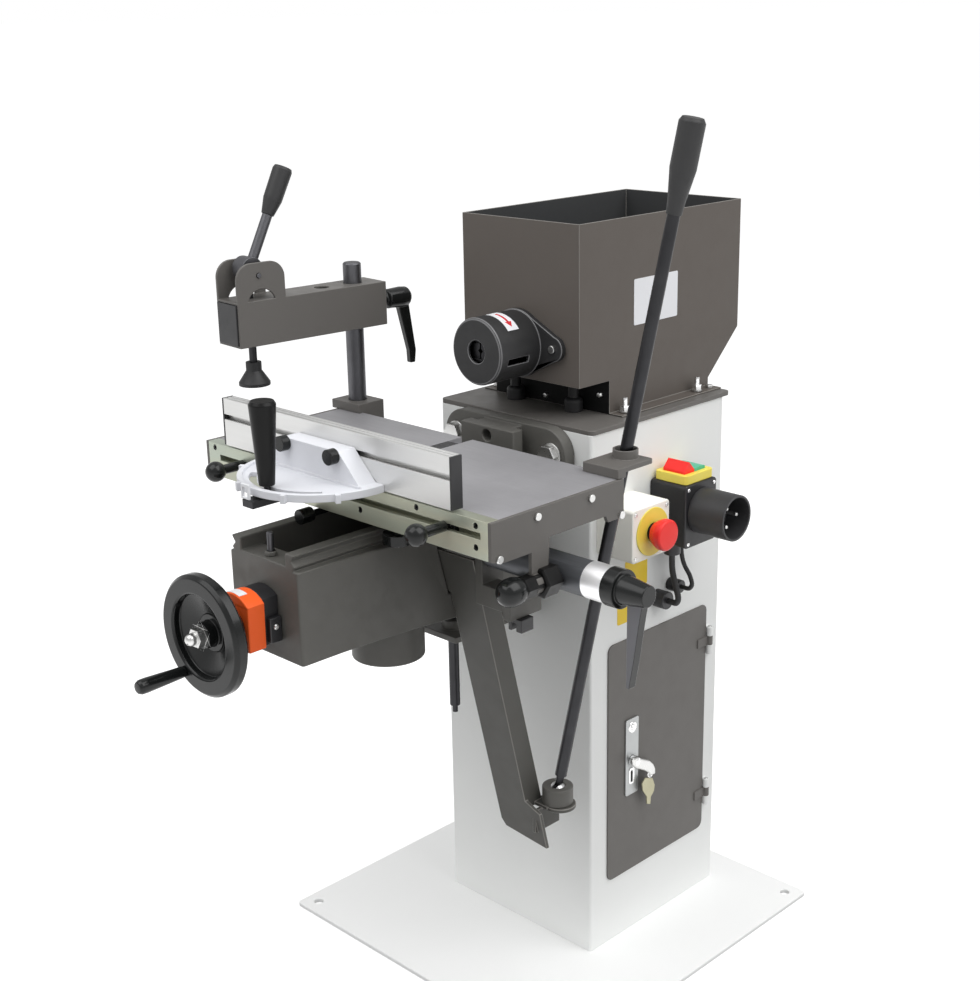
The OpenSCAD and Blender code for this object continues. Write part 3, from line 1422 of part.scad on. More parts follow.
module clamp_lever() {
    color("#4b4b4f") at_post() translate([0, plunger_v, pivot_z]) {
        bar_along_x(-cam_t / 2, cam_t / 2, 0, cam_off, 2 * cam_r);
        rotate([lever_lean, 0, 0]) bar_along_z(cam_r, grip_at, 0, 0, 13);
        bar_along_x(-arm_w / 2 - 2, arm_w / 2 + 2, 0, 0, 2 * cam_pin_r);
    }
    color("#3b3b40") at_post() translate([0, plunger_v, pivot_z]) rotate([lever_lean, 0, 0])
        translate([0, 0, grip_at + snug]) rotate_extrude() polygon([
            [0, 0], [8, 0], [12, 20], [12.5, 58], [11, 62], [0, 62]]);
}

module clamp_plunger() {
    head_z = pivot_z + cam_off - cam_r - 0.3;
    color("#2c2c2e") at_post() translate([0, plunger_v, 0]) {
        translate([0, 0, pad_z0 + 22 + snug]) cylinder(h = head_z - pad_z0 - 22 - snug, r = plunger_r);
        translate([0, 0, head_z - 4]) cylinder(h = 4, r = 8);
    }
    color("#232325") at_post() translate([0, plunger_v, pad_z0]) rotate_extrude() polygon([
        [0, 0], [pad_d / 2, 0], [pad_d / 2, 4], [10, 19], [10, 30], [plunger_r + snug, 30],
        [plunger_r + snug, 22], [0, 22]]);
}

// Turned frame of the joystick: Z runs from the ball along the rod
module on_ball() {
    translate([ball_x, ball_y, ball_z]) rotate([0, tilt_x, 0]) children();
}
module lever_ball() {
    color("silver") on_ball() {
        difference() {
            sphere(ball_r);
            block(-tongue_t / 2 - play / 2, tongue_t / 2 + play / 2, 1.5 - ball_r, ball_r - 1.5, -tongue_r - play,
                ball_r + past);
        }
        for (s = [-1, 1])
            bar_along_y(min(s * (ball_r - 1.5), s * trunnion_y), max(s * (ball_r - 1.5), s * trunnion_y), 0, 0, trunnion_d);
        bar_along_x(-ball_r + 2, ball_r - 2, 0, 0, 4);
    }
}
module joystick() {
    color("#232326") on_ball() rotate([-tilt_y, 0, 0]) {
        difference() {
            union() {
                bar_along_x(-tongue_t / 2, tongue_t / 2, 0, 0, 2 * tongue_r);
                block(-tongue_t / 2, tongue_t / 2, -4, 4, 0, ball_r + 4);
                bar_along_z(ball_r + 1.5, ball_r + 12, 0, 0, 10);
                bar_along_z(ball_r + 11, stick_end - stick_grip + 8, 0, 0, stick_d);
            }
            bar_along_x(-ball_r, ball_r, 0, 0, 4 + 2 * run);
        }
        translate([0, 0, stick_end - stick_grip]) rotate_extrude() difference() {
            polygon([[0, 0], [9, 0], [10, 14], [15, 50], [15, stick_grip - 5], [12, stick_grip], [0, stick_grip]]);
            translate([-past, -past]) square([stick_d / 2 + snug + past, 9 + past]);
        }
    }
}

module miter_bar() {
    x0 = slot_x - bar_w / 2;
    x1 = slot_x + bar_w / 2;
    color("#232325") {
        block(x0, x1, miter_y0, miter_y1, table_z - slot_deep + play, table_z - play);
        bar_along_z(table_z - 1, disc_z1 + 1, gauge_x, gauge_y, 10);
        bar_along_z(table_z + play, disc_z0 - play, gauge_x, gauge_y, 24);
        bar_along_z(table_z - 1, disc_z1 + grip_h - 12, gauge_x, gauge_y - arc_r, 7.8);
    }
    color("whitesmoke") difference() {
        block(x0 - 3, x0 + 11, miter_y0 + 1, miter_y0 + 4, table_z - play + snug, disc_z1 + 6);
        block(x0, x0 + 8, miter_y0, miter_y0 + 20, table_z + 2, disc_z1 + 2);
    }
}

// Front view of the gauge's head, from its foot to its narrow top
module gauge_head(foot, top, z0, z1) {
    polygon([[gauge_x - foot, z0], [gauge_x + foot, z0], [gauge_x + top, z1], [gauge_x - top, z1]]);
}
module miter_gauge() {
    color("#e9e9ea") difference() {
        union() {
            slab_z(disc_z0, disc_z1) intersection() {
                translate([gauge_x, gauge_y]) circle(disc_r);
                translate([gauge_x - disc_r, gauge_y - disc_r]) square([2 * disc_r, disc_r + wall_y1 - gauge_y]);
            }
            slab_y(head_y0, wall_y1) gauge_head(disc_r - 6, 49, disc_z0 + 1, head_z1);
            for (a = [-60, -20, 25, 60])
                translate([gauge_x, gauge_y, 0]) rotate([0, 0, a]) block(-3, 3, -disc_r - 5, -disc_r + 2, disc_z0 - 1, disc_z1);
        }
        slab_z(disc_z1 - 3, disc_z1 + past) intersection() {
            translate([gauge_x, gauge_y]) difference() {
                circle(disc_r - 6);
                circle(16);
            }
            translate([gauge_x - disc_r, gauge_y - disc_r]) square([2 * disc_r, disc_r + head_y0 - 1 - gauge_y]);
        }
        slab_y(head_y0 + wall_t, wall_y1 + past) gauge_head(disc_r - 16, 34, disc_z1 + 1, fence_slot_z - 6);
        bar_along_z(disc_z0 - past, disc_z1 + past, gauge_x, gauge_y, 10 + 2 * run);
        translate([gauge_x, gauge_y, disc_z0 - 3]) rotate([0, 0, -90 - arc_half])
            rotate_extrude(angle = 2 * arc_half) translate([arc_r - arc_w / 2, 0]) square([arc_w, disc_t + 4]);
        for (s = [-1, 1])
            bar_along_y(head_y0 - past, wall_y1 + past, gauge_x + s * fence_knob_x, fence_slot_z, 6.4);
    }
    for (s = [-1, 1])
        fence_knob(gauge_x + s * fence_knob_x);
}
// Knob whose square nut sits in the fence's slot
module fence_knob(x) {
    nut_y0 = fence_y0 + 3 + play;
    color("#202022") {
        bar_along_y(head_y0 - 11, head_y0 - snug, x, fence_slot_z, 18);
        bar_along_y(head_y0 - past, nut_y0 + past, x, fence_slot_z, 6);
        block(x - 6, x + 6, nut_y0, nut_y0 + 3.4, fence_slot_z - 6, fence_slot_z + 6);
    }
}

module miter_handle() {
    z0 = disc_z1 + play;
    color("#151517") translate([gauge_x, gauge_y - arc_r, z0]) rotate_extrude() difference() {
        polygon([[0, 0], [9, 0], [9.5, 6], [15.5, grip_h - 4], [13, grip_h], [0, grip_h]]);
        translate([-past, -past]) square([3.9 + run + past, grip_h - 11.5 + past]);
    }
}

module fence() {
    cap_t = 3;
    slot_cave = 13;
    color("gainsboro") slab_x(fence_x0 + cap_t + snug, fence_x0 + fence_len - cap_t - snug) difference() {
        translate([fence_y0, fence_z0]) square([fence_t, fence_h]);
        translate([fence_y0 - past, fence_slot_z - fence_slot_h / 2]) square([fence_t / 2, fence_slot_h]);
        translate([fence_y0 + 3, fence_slot_z - slot_cave / 2]) square([3.8, slot_cave]);
        translate([fence_y0 + 2.5, fence_z0 + 2.5]) square([fence_t - 5, fence_slot_z - fence_z0 - 12]);
        translate([fence_y0 + 5, fence_z1 - past / 2]) square([2, 3]);
        translate([fence_y1 - 5, fence_z1 - past / 2]) square([2, 3]);
    }
    color("#3a3a3c") for (x = [fence_x0, fence_x0 + fence_len - cap_t])
        block(x, x + cap_t, fence_y0, fence_y1, fence_z0, fence_z1);
}

base_plate();
cabinet();
motor_plate();
hood();
motor_housing();
motor_covers();
chuck_guard();
column_bracket();
frame_bolts();
buffers();
lift_nut_plate();
switch_box();
inlet_socket();
estop_box();
yellow_bezels();
cable_glands();
switch_leads();
door();
door_lock();
lock_handle();
motor_shaft();
chuck_body();
chuck_jaw_left();
chuck_jaw_right();
knee();
lever_arm();
pivot_cup();
lift_housing();
depth_counter();
stop_bracket();
handwheel();
handwheel_shaft();
crank_handle();
lift_screw();
stop_bar();
stop_bar_lever();
saddle();
table_top();
front_rail();
end_plates();
table_rods();
depth_screw();
rail_stop_left();
rail_stop_right();
lever_bush();
clamp_base();
miter_bar();
miter_gauge();
miter_handle();
fence();
clamp_post();
clamp_arm();
clamp_handle();
clamp_lever();
clamp_plunger();
lever_ball();
joystick();
estop_button();
start_button();
stop_button();
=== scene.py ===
"""Looks of a horizontal slot mortiser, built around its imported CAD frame.

The sizes and places of pieces are in millimetres, and angles are in degrees.
"""
import json
import math

import bmesh
import bpy
from mathutils import Matrix, Vector


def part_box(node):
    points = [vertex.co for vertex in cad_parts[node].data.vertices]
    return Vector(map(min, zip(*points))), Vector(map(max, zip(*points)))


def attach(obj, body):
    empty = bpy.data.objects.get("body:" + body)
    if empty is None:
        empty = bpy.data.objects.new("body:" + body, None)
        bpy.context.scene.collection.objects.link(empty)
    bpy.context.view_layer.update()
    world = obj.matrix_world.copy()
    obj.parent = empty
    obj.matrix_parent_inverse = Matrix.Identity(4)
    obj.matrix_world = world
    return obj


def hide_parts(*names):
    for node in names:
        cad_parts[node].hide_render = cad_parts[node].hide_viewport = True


MM = 0.001
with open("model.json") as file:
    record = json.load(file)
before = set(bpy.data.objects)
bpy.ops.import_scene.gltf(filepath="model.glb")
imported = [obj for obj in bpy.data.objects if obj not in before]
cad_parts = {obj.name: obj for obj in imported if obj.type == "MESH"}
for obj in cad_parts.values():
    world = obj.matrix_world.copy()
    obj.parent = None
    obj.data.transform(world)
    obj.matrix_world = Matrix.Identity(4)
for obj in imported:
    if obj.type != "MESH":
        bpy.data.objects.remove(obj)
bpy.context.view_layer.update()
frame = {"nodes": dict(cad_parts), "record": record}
NODES = frame["nodes"]
BODY_OF = {node: body for body, nodes in frame["record"]["behaviour"]["bodies"].items() for node in nodes}


def mm(*values):
    """Point given in millimetres, in metres."""
    return Vector(values) * MM


# Camera at the photo's viewing angle

FOCAL_PX = 1552.09
LONG_SIDE_PX = 981
SENSOR = 36
CAMERA_AT = (1334.28, -1381.57, 1233.23)
YAW, PITCH, ROLL = (math.radians(angle) for angle in (44.92, 17.26, -1.1))

ahead = Vector((-math.sin(YAW) * math.cos(PITCH), math.cos(YAW) * math.cos(PITCH), -math.sin(PITCH)))
level_right = Vector((math.cos(YAW), math.sin(YAW), 0))
level_up = level_right.cross(ahead)
right = level_right * math.cos(ROLL) + level_up * math.sin(ROLL)
up = level_up * math.cos(ROLL) - level_right * math.sin(ROLL)

cam_data = bpy.data.cameras.new("camera")
cam_data.sensor_fit = "VERTICAL"
cam_data.sensor_height = SENSOR
cam_data.sensor_width = SENSOR
cam_data.lens = FOCAL_PX / LONG_SIDE_PX * SENSOR
cam_data.clip_start = 0.05
cam_data.clip_end = 1000
camera = bpy.data.objects.new("camera", cam_data)
bpy.context.scene.collection.objects.link(camera)
camera.matrix_world = Matrix.Translation(mm(*CAMERA_AT)) @ Matrix((right, up, -ahead)).transposed().to_4x4()
bpy.context.scene.camera = camera


# Materials

MATS = {}
NOISE_LOW = 0.3
NOISE_HIGH = 0.7


class Material:
    """One material, with short calls for building its nodes."""

    def __init__(self, name, color, rough, metal=0.0, spec=0.5):
        self.mat = bpy.data.materials.new(name)
        self.mat.use_nodes = True
        self.tree = self.mat.node_tree
        self.shader = self.tree.nodes["Principled BSDF"]
        self.color = color
        self.set("Base Color", (*color, 1))
        self.set("Roughness", rough)
        self.set("Metallic", metal)
        self.set("Specular IOR Level", spec)
        self.where = self.add("ShaderNodeTexCoord").outputs["Object"]
        MATS[name] = self.mat

    def add(self, kind):
        return self.tree.nodes.new(kind)

    def set(self, socket, value):
        self.shader.inputs[socket].default_value = value

    def link(self, output, socket):
        self.tree.links.new(output, socket)

    def stretched(self, scale):
        """The object's coordinates, scaled along each axis."""
        mapping = self.add("ShaderNodeMapping")
        mapping.inputs["Scale"].default_value = scale
        self.link(self.where, mapping.inputs["Vector"])
        return mapping.outputs["Vector"]

    def noise(self, scale, detail=4, rough=0.55, stretch=None, distort=0.0):
        noise = self.add("ShaderNodeTexNoise")
        noise.inputs["Scale"].default_value = scale
        noise.inputs["Detail"].default_value = detail
        noise.inputs["Roughness"].default_value = rough
        noise.inputs["Distortion"].default_value = distort
        self.link(self.stretched(stretch) if stretch else self.where, noise.inputs["Vector"])
        return noise.outputs["Fac"]

    def remap(self, value, *limits):
        """Value moved from the range of the first two limits to that of the last two."""
        remap = self.add("ShaderNodeMapRange")
        for socket, limit in zip(("From Min", "From Max", "To Min", "To Max"), limits):
            remap.inputs[socket].default_value = limit
        self.link(value, remap.inputs["Value"])
        return remap.outputs["Result"]

    def ramp(self, value, stops):
        """Colour that follows a value through a list of (position, colour)."""
        ramp = self.add("ShaderNodeValToRGB")
        elements = ramp.color_ramp.elements
        while len(elements) < len(stops):
            elements.new(0.5)
        for element, (position, color) in zip(elements, stops):
            element.position = position
            element.color = (*color, 1)
        self.link(value, ramp.inputs["Fac"])
        self.link(ramp.outputs["Color"], self.shader.inputs["Base Color"])
        return ramp.outputs["Color"]

    def shades(self, value, dark, light):
        """Colour that varies between two shades of the base colour."""
        darker = [part * dark for part in self.color]
        lighter = [min(1, part * light) for part in self.color]
        return self.ramp(value, [(NOISE_LOW, darker), (NOISE_HIGH, lighter)])

    def over(self, below, value, color):
        """Lays another colour over one where a value is high."""
        mix = self.add("ShaderNodeMix")
        mix.data_type = "RGBA"
        self.link(value, mix.inputs["Factor"])
        self.link(below, mix.inputs["A"])
        mix.inputs["B"].default_value = (*color, 1)
        self.link(mix.outputs["Result"], self.shader.inputs["Base Color"])

    def roughen(self, value, low, high):
        self.link(self.remap(value, NOISE_LOW, NOISE_HIGH, low, high), self.shader.inputs["Roughness"])

    def bump(self, value, height, strength, after=None):
        """Bump with a height in metres, on top of an earlier one where there is one."""
        bump = self.add("ShaderNodeBump")
        bump.inputs["Distance"].default_value = height
        bump.inputs["Strength"].default_value = strength
        self.link(value, bump.inputs["Height"])
        if after is not None:
            self.link(after, bump.inputs["Normal"])
        self.link(bump.outputs["Normal"], self.shader.inputs["Normal"])
        return bump.outputs["Normal"]


def powder(name, color, rough, grain, dark=0.975, light=1.02, spec=0.4):
    """Powder coat: fine orange peel and slow tone changes."""
    look = Material(name, color, rough, spec=spec)
    look.shades(look.noise(7, detail=5, rough=0.6), dark, light)
    look.roughen(look.noise(45), rough - 0.06, rough + 0.06)
    peel = look.bump(look.noise(900, detail=2, rough=0.5), grain, 0.6)
    look.bump(look.noise(160, detail=3), grain * 2, 0.25, peel)


def casting(name, color, rough, grain):
    """Painted sand casting: soft pits and lumps under the paint."""
    look = Material(name, color, rough, spec=0.42)
    look.shades(look.noise(9, detail=6, rough=0.62), 0.94, 1.05)
    look.roughen(look.noise(60), rough - 0.08, rough + 0.08)
    lumps = look.bump(look.noise(120, detail=5, rough=0.6), grain * 1.6, 0.5)
    look.bump(look.noise(600, detail=3, rough=0.6), grain, 0.5, lumps)


def plated(name, color, rough, along, tone=0.9):
    """Plated or ground steel: fine lines along one direction and cloudy tone."""
    look = Material(name, color, rough, metal=1.0)
    look.shades(look.noise(22, detail=5), tone, 1.06)
    lines = look.noise(420, detail=3, rough=0.6, stretch=along)
    look.roughen(lines, rough - 0.05, rough + 0.09)
    look.bump(lines, 0.00001, 0.2)


def moulded(name, color, rough, grain, spec=0.5, dark=0.9, light=1.08):
    """Moulded plastic, rubber or gloss paint: fine even grain."""
    look = Material(name, color, rough, spec=spec)
    look.shades(look.noise(14), dark, light)
    look.roughen(look.noise(50), rough - 0.05, rough + 0.07)
    look.bump(look.noise(1100, detail=2), grain, 0.4)


def table_grey():
    """Coated table plate: lines along X and darker patches."""
    look = Material("table_grey", (0.34, 0.336, 0.35), 0.5, metal=0.3, spec=0.4)
    tone = look.shades(look.noise(6, detail=6, rough=0.6), 0.86, 1.1)
    patches = look.noise(3, detail=3, rough=0.5, stretch=(0.4, 3, 1))
    look.over(tone, look.remap(patches, 0.5, 0.75, 0, 0.2), (0.23, 0.226, 0.235))
    lines = look.noise(300, detail=3, rough=0.6, stretch=(0.06, 3, 1))
    look.roughen(lines, 0.42, 0.62)
    look.bump(lines, 0.00004, 0.35)


def bar_black():
    """Blackened round bar: its gloss varies in lines along X."""
    look = Material("bar_black", (0.11, 0.115, 0.125), 0.36, metal=0.6, spec=0.5)
    look.roughen(look.noise(300, detail=3, rough=0.6, stretch=(0.1, 3, 3)), 0.34, 0.48)


def yellow_zinc():
    """Yellow zinc plate of the rail: clouds from grey green to pale yellow."""
    look = Material("yellow_zinc", (0.50, 0.51, 0.42), 0.34, metal=0.7)
    clouds = look.noise(5, detail=3, rough=0.5, stretch=(0.5, 1, 2.5), distort=0.3)
    look.ramp(clouds, [(0.3, (0.40, 0.41, 0.35)), (0.5, (0.52, 0.53, 0.42)),
                       (0.62, (0.47, 0.52, 0.44)), (0.8, (0.56, 0.54, 0.48))])
    lines = look.noise(500, detail=3, rough=0.6, stretch=(0.05, 1, 2))
    look.roughen(lines, 0.3, 0.44)
    look.bump(lines, 0.00001, 0.2)


def aluminium():
    """Drawn aluminium of the fence: fine lines along X."""
    look = Material("aluminium", (0.72, 0.72, 0.71), 0.36, metal=0.85)
    look.shades(look.noise(10, rough=0.5, stretch=(0.15, 1, 3)), 0.95, 1.03)
    lines = look.noise(800, detail=3, rough=0.6, stretch=(0.02, 2, 2))
    look.roughen(lines, 0.3, 0.46)
    look.bump(lines, 0.00003, 0.3)


powder("cream_paint", (0.86, 0.87, 0.86), 0.42, grain=0.00002, dark=0.98, light=1.01, spec=0.45)
powder("grey_paint", (0.128, 0.121, 0.113), 0.45, grain=0.000035, spec=0.38)
powder("base_paint", (0.96, 0.965, 0.96), 0.5, grain=0.00002, dark=0.99, light=1.005, spec=0.3)
powder("hood_paint", (0.112, 0.098, 0.087), 0.5, grain=0.000025, dark=0.985, light=1.015, spec=0.3)
# The lever arm's grey-green paint, darker than the grey paint: partly its own colour, partly painted shade
# under the table.
powder("arm_shaded_paint", (0.088, 0.086, 0.078), 0.45, grain=0.00003, dark=0.98, spec=0.3)
# Lighter colour laid on the rounded edges of the hood and lever arm: a painted highlight along the edges.
powder("edge_highlight_paint", (0.22, 0.21, 0.195), 0.4, grain=0.00001)
# Near black for the hood's inner walls: painted shade inside the open-topped hood.
powder("hood_inside_shade", (0.045, 0.046, 0.047), 0.6, grain=0.00004, spec=0.2)
powder("motor_paint", (0.10, 0.14, 0.18), 0.42, grain=0.00004)
powder("cast_white", (0.74, 0.75, 0.79), 0.4, grain=0.00004, dark=0.97, spec=0.45)
# Lighter grey for the guard's rounded edges: partly rubbed paint on the rim and ear, partly a painted
# highlight.
powder("guard_edge_wear_and_highlight", (0.16, 0.16, 0.165), 0.35, grain=0.00001)
casting("cast_grey", (0.108, 0.105, 0.096), 0.5, grain=0.00005)
casting("guard_grey", (0.026, 0.026, 0.027), 0.46, grain=0.00003)
table_grey()
bar_black()
yellow_zinc()
aluminium()
plated("zinc", (0.66, 0.66, 0.65), 0.3, along=(1, 1, 1), tone=0.95)
plated("steel", (0.60, 0.60, 0.60), 0.26, along=(1, 0.2, 1))
plated("dark_steel", (0.045, 0.045, 0.048), 0.36, along=(1, 1, 0.15), tone=0.75)
plated("grey_steel", (0.14, 0.14, 0.15), 0.42, along=(1, 1, 0.2), tone=0.85)
plated("ring_aluminium", (0.93, 0.93, 0.94), 0.42, along=(0.1, 3, 3), tone=0.97)
plated("chrome", (0.80, 0.80, 0.80), 0.2, along=(1, 1, 1), tone=0.97)
plated("lock_steel", (0.42, 0.43, 0.43), 0.42, along=(1, 3, 0.1), tone=0.95)
plated("key_brass", (0.42, 0.40, 0.28), 0.42, along=(1, 1, 1), tone=0.95)
# Near black that stands for painted shade: in the keyhole, on the hood's cavity wall and inside the rail's
# slot.
moulded("shade_black", (0.006, 0.006, 0.006), 0.6, grain=0.00002, spec=0.2)
moulded("satin_black", (0.006, 0.006, 0.006), 0.34, grain=0.00002, spec=0.2)
moulded("gloss_black", (0.009, 0.010, 0.010), 0.2, grain=0.00001, spec=0.35)
moulded("black_plastic", (0.016, 0.016, 0.018), 0.42, grain=0.00004)
moulded("inlet_black", (0.036, 0.036, 0.038), 0.5, grain=0.00005)
# Grey for the stop lever blade's front faces: a painted highlight on its lit side.
moulded("blade_highlight_grey", (0.15, 0.15, 0.165), 0.4, grain=0.00002)
moulded("grip_dark", (0.02, 0.02, 0.021), 0.5, grain=0.00003)
moulded("rubber", (0.012, 0.012, 0.013), 0.55, grain=0.00004)
moulded("ivory_plastic", (0.95, 0.94, 0.87), 0.4, grain=0.00003, spec=0.4, dark=0.98, light=1.01)
moulded("yellow_plastic", (0.87, 0.72, 0.10), 0.35, grain=0.00002, dark=0.95, light=1.03)
moulded("red_plastic", (0.93, 0.03, 0.025), 0.34, grain=0.00001, spec=0.35, dark=0.97, light=1.02)
moulded("green_plastic", (0.08, 0.46, 0.28), 0.34, grain=0.00001, spec=0.35)
moulded("orange_plastic", (1.0, 0.14, 0.025), 0.4, grain=0.00003, spec=0.25, dark=0.97, light=1.0)
moulded("yellow_label", (0.86, 0.60, 0.015), 0.4, grain=0.00001, dark=0.96, light=1.03)
moulded("white_label", (0.82, 0.83, 0.86), 0.42, grain=0.00001, dark=0.98, light=1.01)
moulded("red_print", (0.62, 0.03, 0.04), 0.45, grain=0.00001)


# Building pieces

SMOOTH_ANGLE = 32
CRISP_ANGLE = 20
BEVEL_ANGLE = 35
SOLID_MERGE = 2e-6
LATHE_MERGE = 1e-7
ON_AXIS = 1e-6
FLAT_ANGLE = 0.6
CORNER_STEPS = 5
HEAD_SIDES = 28
STUD_SIDES = 24
HEX_SIDES = 6
TURNS = {
    "z": Matrix.Identity(4),
    "x": Matrix.Rotation(math.pi / 2, 4, "Y"),
    "-y": Matrix.Rotation(math.pi / 2, 4, "X"),
}


def show(name, mesh, mat, body, replaces=()):
    """Links a mesh as a finished piece that rides on a body."""
    piece = bpy.data.objects.new(name, mesh)
    bpy.context.scene.collection.objects.link(piece)
    mesh.materials.append(MATS[mat])
    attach(piece, body)
    if replaces:
        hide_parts(*replaces)
    return piece


def to_mesh(bm, name, angle=SMOOTH_ANGLE):
    """Finished mesh of a bmesh, smooth except along edges sharper than an angle in degrees."""
    mesh = bpy.data.meshes.new(name)
    bmesh.ops.recalc_face_normals(bm, faces=bm.faces)
    bm.to_mesh(mesh)
    bm.free()
    for polygon in mesh.polygons:
        polygon.use_smooth = True
    mesh.set_sharp_from_angle(angle=math.radians(angle))
    return mesh


def round_edges(piece, width, segments=2, edge=None):
    """Rounds a piece's sharp edges, with a material of their own if one is named."""
    bevel = piece.modifiers.new("edges", "BEVEL")
    bevel.width = width * MM
    bevel.segments = segments
    bevel.limit_method = "ANGLE"
    bevel.angle_limit = math.radians(BEVEL_ANGLE)
    bevel.use_clamp_overlap = False
    bevel.loop_slide = False
    if edge:
        piece.data.materials.append(MATS[edge])
        bevel.material = len(piece.data.materials) - 1
    shading = piece.modifiers.new("shading", "WEIGHTED_NORMAL")
    shading.weight = 50
    shading.keep_sharp = True


def islands(bm):
    """Groups of vertices that edges join."""
    seen = set()
    for start in bm.verts:
        if start in seen:
            continue
        seen.add(start)
        waiting = [start]
        island = []
        while waiting:
            vert = waiting.pop()
            island.append(vert)
            for edge in vert.link_edges:
                other = edge.other_vert(vert)
                if other not in seen:
                    seen.add(other)
                    waiting.append(other)
        yield island


def solids(node):
    """The node's separate solids as clean bmeshes, the one with the largest box first."""
    bm = bmesh.new()
    bm.from_mesh(NODES[node].data)
    bmesh.ops.remove_doubles(bm, verts=bm.verts, dist=SOLID_MERGE)
    bmesh.ops.dissolve_limit(bm, angle_limit=math.radians(FLAT_ANGLE), verts=bm.verts, edges=bm.edges)
    found = []
    for island in islands(bm):
        solid = bmesh.new()
        copies = {vert: solid.verts.new(vert.co) for vert in island}
        for face in bm.faces:
            if face.verts[0] in copies:
                try:
                    solid.faces.new([copies[vert] for vert in face.verts])
                except ValueError:
                    # Blender refuses a second face on the same corners, and the first is enough.
                    pass
        low = Vector([min(vert.co[axis] for vert in island) for axis in range(3)]) / MM
        high = Vector([max(vert.co[axis] for vert in island) for axis in range(3)]) / MM
        size = high - low
        found.append((size.x * size.y * size.z, solid))
    bm.free()
    found.sort(key=lambda pair: pair[0], reverse=True)
    return [solid for _, solid in found]


def dress(node, mat, bevel=0.6, segments=2, pick=None, edge=None):
    """Shows a CAD node's solids with rounded edges. pick(number) may choose another material."""
    pieces = []
    parts = solids(node)
    for number, solid in enumerate(parts):
        name = f"{node}_{number}" if len(parts) > 1 else f"{node}_dressed"
        chosen = (pick(number) if pick else None) or mat
        piece = show(name, to_mesh(solid, node), chosen, BODY_OF[node], (node,))
        round_edges(piece, bevel, segments, edge)
        pieces.append(piece)
    return pieces


def lathe(name, profile, mat, body, at, axis="z", segments=64, replaces=(), angle=SMOOTH_ANGLE, bevel=0.0):
    """Turned piece: a profile of (radius, distance) in mm round an axis through a point."""
    bm = bmesh.new()
    rings = []
    for radius, distance in profile:
        if radius < ON_AXIS:
            rings.append([bm.verts.new(mm(0, 0, distance))])
        else:
            angles = [2 * math.pi * k / segments for k in range(segments)]
            places = [mm(radius * math.cos(a), radius * math.sin(a), distance) for a in angles]
            rings.append([bm.verts.new(place) for place in places])
    for one, two in zip(rings, rings[1:]):
        for k in range(segments):
            after = (k + 1) % segments
            if len(one) == 1:
                bm.faces.new([one[0], two[k], two[after]])
            elif len(two) == 1:
                bm.faces.new([one[k], one[after], two[0]])
            else:
                bm.faces.new([one[k], one[after], two[after], two[k]])
    # A profile that ends off the axis gets flat end faces. Only the key ring's does,
    # and they close its hole.
    for ring in (rings[0], rings[-1]):
        if len(ring) > 1:
            bm.faces.new(ring)
    bmesh.ops.remove_doubles(bm, verts=bm.verts, dist=LATHE_MERGE)
    bmesh.ops.transform(bm, matrix=Matrix.Translation(mm(*at)) @ TURNS[axis], verts=bm.verts)
    piece = show(name, to_mesh(bm, name, angle), mat, body, replaces)
    if bevel:
        round_edges(piece, bevel)


def arc(across, along, radius, start, end, steps=6):
    """Points of an arc for an outline, angles in degrees."""
    angles = [math.radians(start + (end - start) * i / steps) for i in range(steps + 1)]
    return [(across + radius * math.cos(a), along + radius * math.sin(a)) for a in angles]


def rounded(left, right, bottom, top, radius):
    """Outline of a rectangle with round corners."""
    corners = ((right - radius, top - radius), (left + radius, top - radius),
               (left + radius, bottom + radius), (right - radius, bottom + radius))
    points = []
    for number, (across, along) in enumerate(corners):
        points += arc(across, along, radius, 90 * number, 90 * number + 90, CORNER_STEPS)
    return points


def in_plane(plane, point, depth):
    """Place of a plane's point at a depth on the third axis, all in mm."""
    one, two = point
    return mm(*{"xz": (one, depth, two), "yz": (depth, one, two), "xy": (one, two, depth)}[plane])


def prism(name, outline, low, high, mat, body, plane="xz", bevel=0.0, replaces=(), segments=2):
    """Plate: a closed outline in a plane, from low to high on the third axis, in mm."""
    bm = bmesh.new()
    bottom = [bm.verts.new(in_plane(plane, point, low)) for point in outline]
    top = [bm.verts.new(in_plane(plane, point, high)) for point in outline]
    bm.faces.new(bottom)
    bm.faces.new(top[::-1])
    for i in range(len(outline)):
        j = (i + 1) % len(outline)
        bm.faces.new([bottom[i], top[i], top[j], bottom[j]])
    piece = show(name, to_mesh(bm, name), mat, body, replaces)
    if bevel:
        round_edges(piece, bevel, segments)


def paint(piece, mat, test):
    """Gives another material to the faces whose centre, in mm, and normal pass a test."""
    piece.data.materials.append(MATS[mat])
    for polygon in piece.data.polygons:
        if test(polygon.center / MM, polygon.normal):
            polygon.material_index = len(piece.data.materials) - 1


def span(node):
    """Lowest and highest corner of a CAD node, in mm."""
    low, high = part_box(node)
    return Vector(low) / MM, Vector(high) / MM


def hex_nut(name, at, axis, across, high, mat, body):
    """Hexagon nut with a chamfered crown, standing on a face at a point."""
    radius = across / math.sqrt(3)
    profile = [(0, 0), (radius, 0), (radius, high * 0.8), (radius * 0.86, high), (0, high)]
    lathe(name, profile, mat, body, at, axis, HEX_SIDES, angle=CRISP_ANGLE, bevel=0.25)


def socket_head(name, at, axis, diameter, high, mat, body):
    """Round head with a recessed socket."""
    radius = diameter / 2
    profile = [(0, high * 0.35), (radius * 0.45, high * 0.35), (radius * 0.5, high), (radius * 0.86, high),
               (radius, high * 0.8), (radius, 0), (0, 0)]
    lathe(name, profile, mat, body, at, axis, HEAD_SIDES)


def pan_head(name, at, axis, diameter, high, mat, body):
    """Domed head with a small recess."""
    radius = diameter / 2
    profile = [(0, high * 0.6), (radius * 0.28, high * 0.6), (radius * 0.36, high),
               (radius * 0.7, high * 0.93), (radius * 0.93, high * 0.6), (radius, high * 0.2),
               (radius, 0), (0, 0)]
    lathe(name, profile, mat, body, at, axis, HEAD_SIDES)


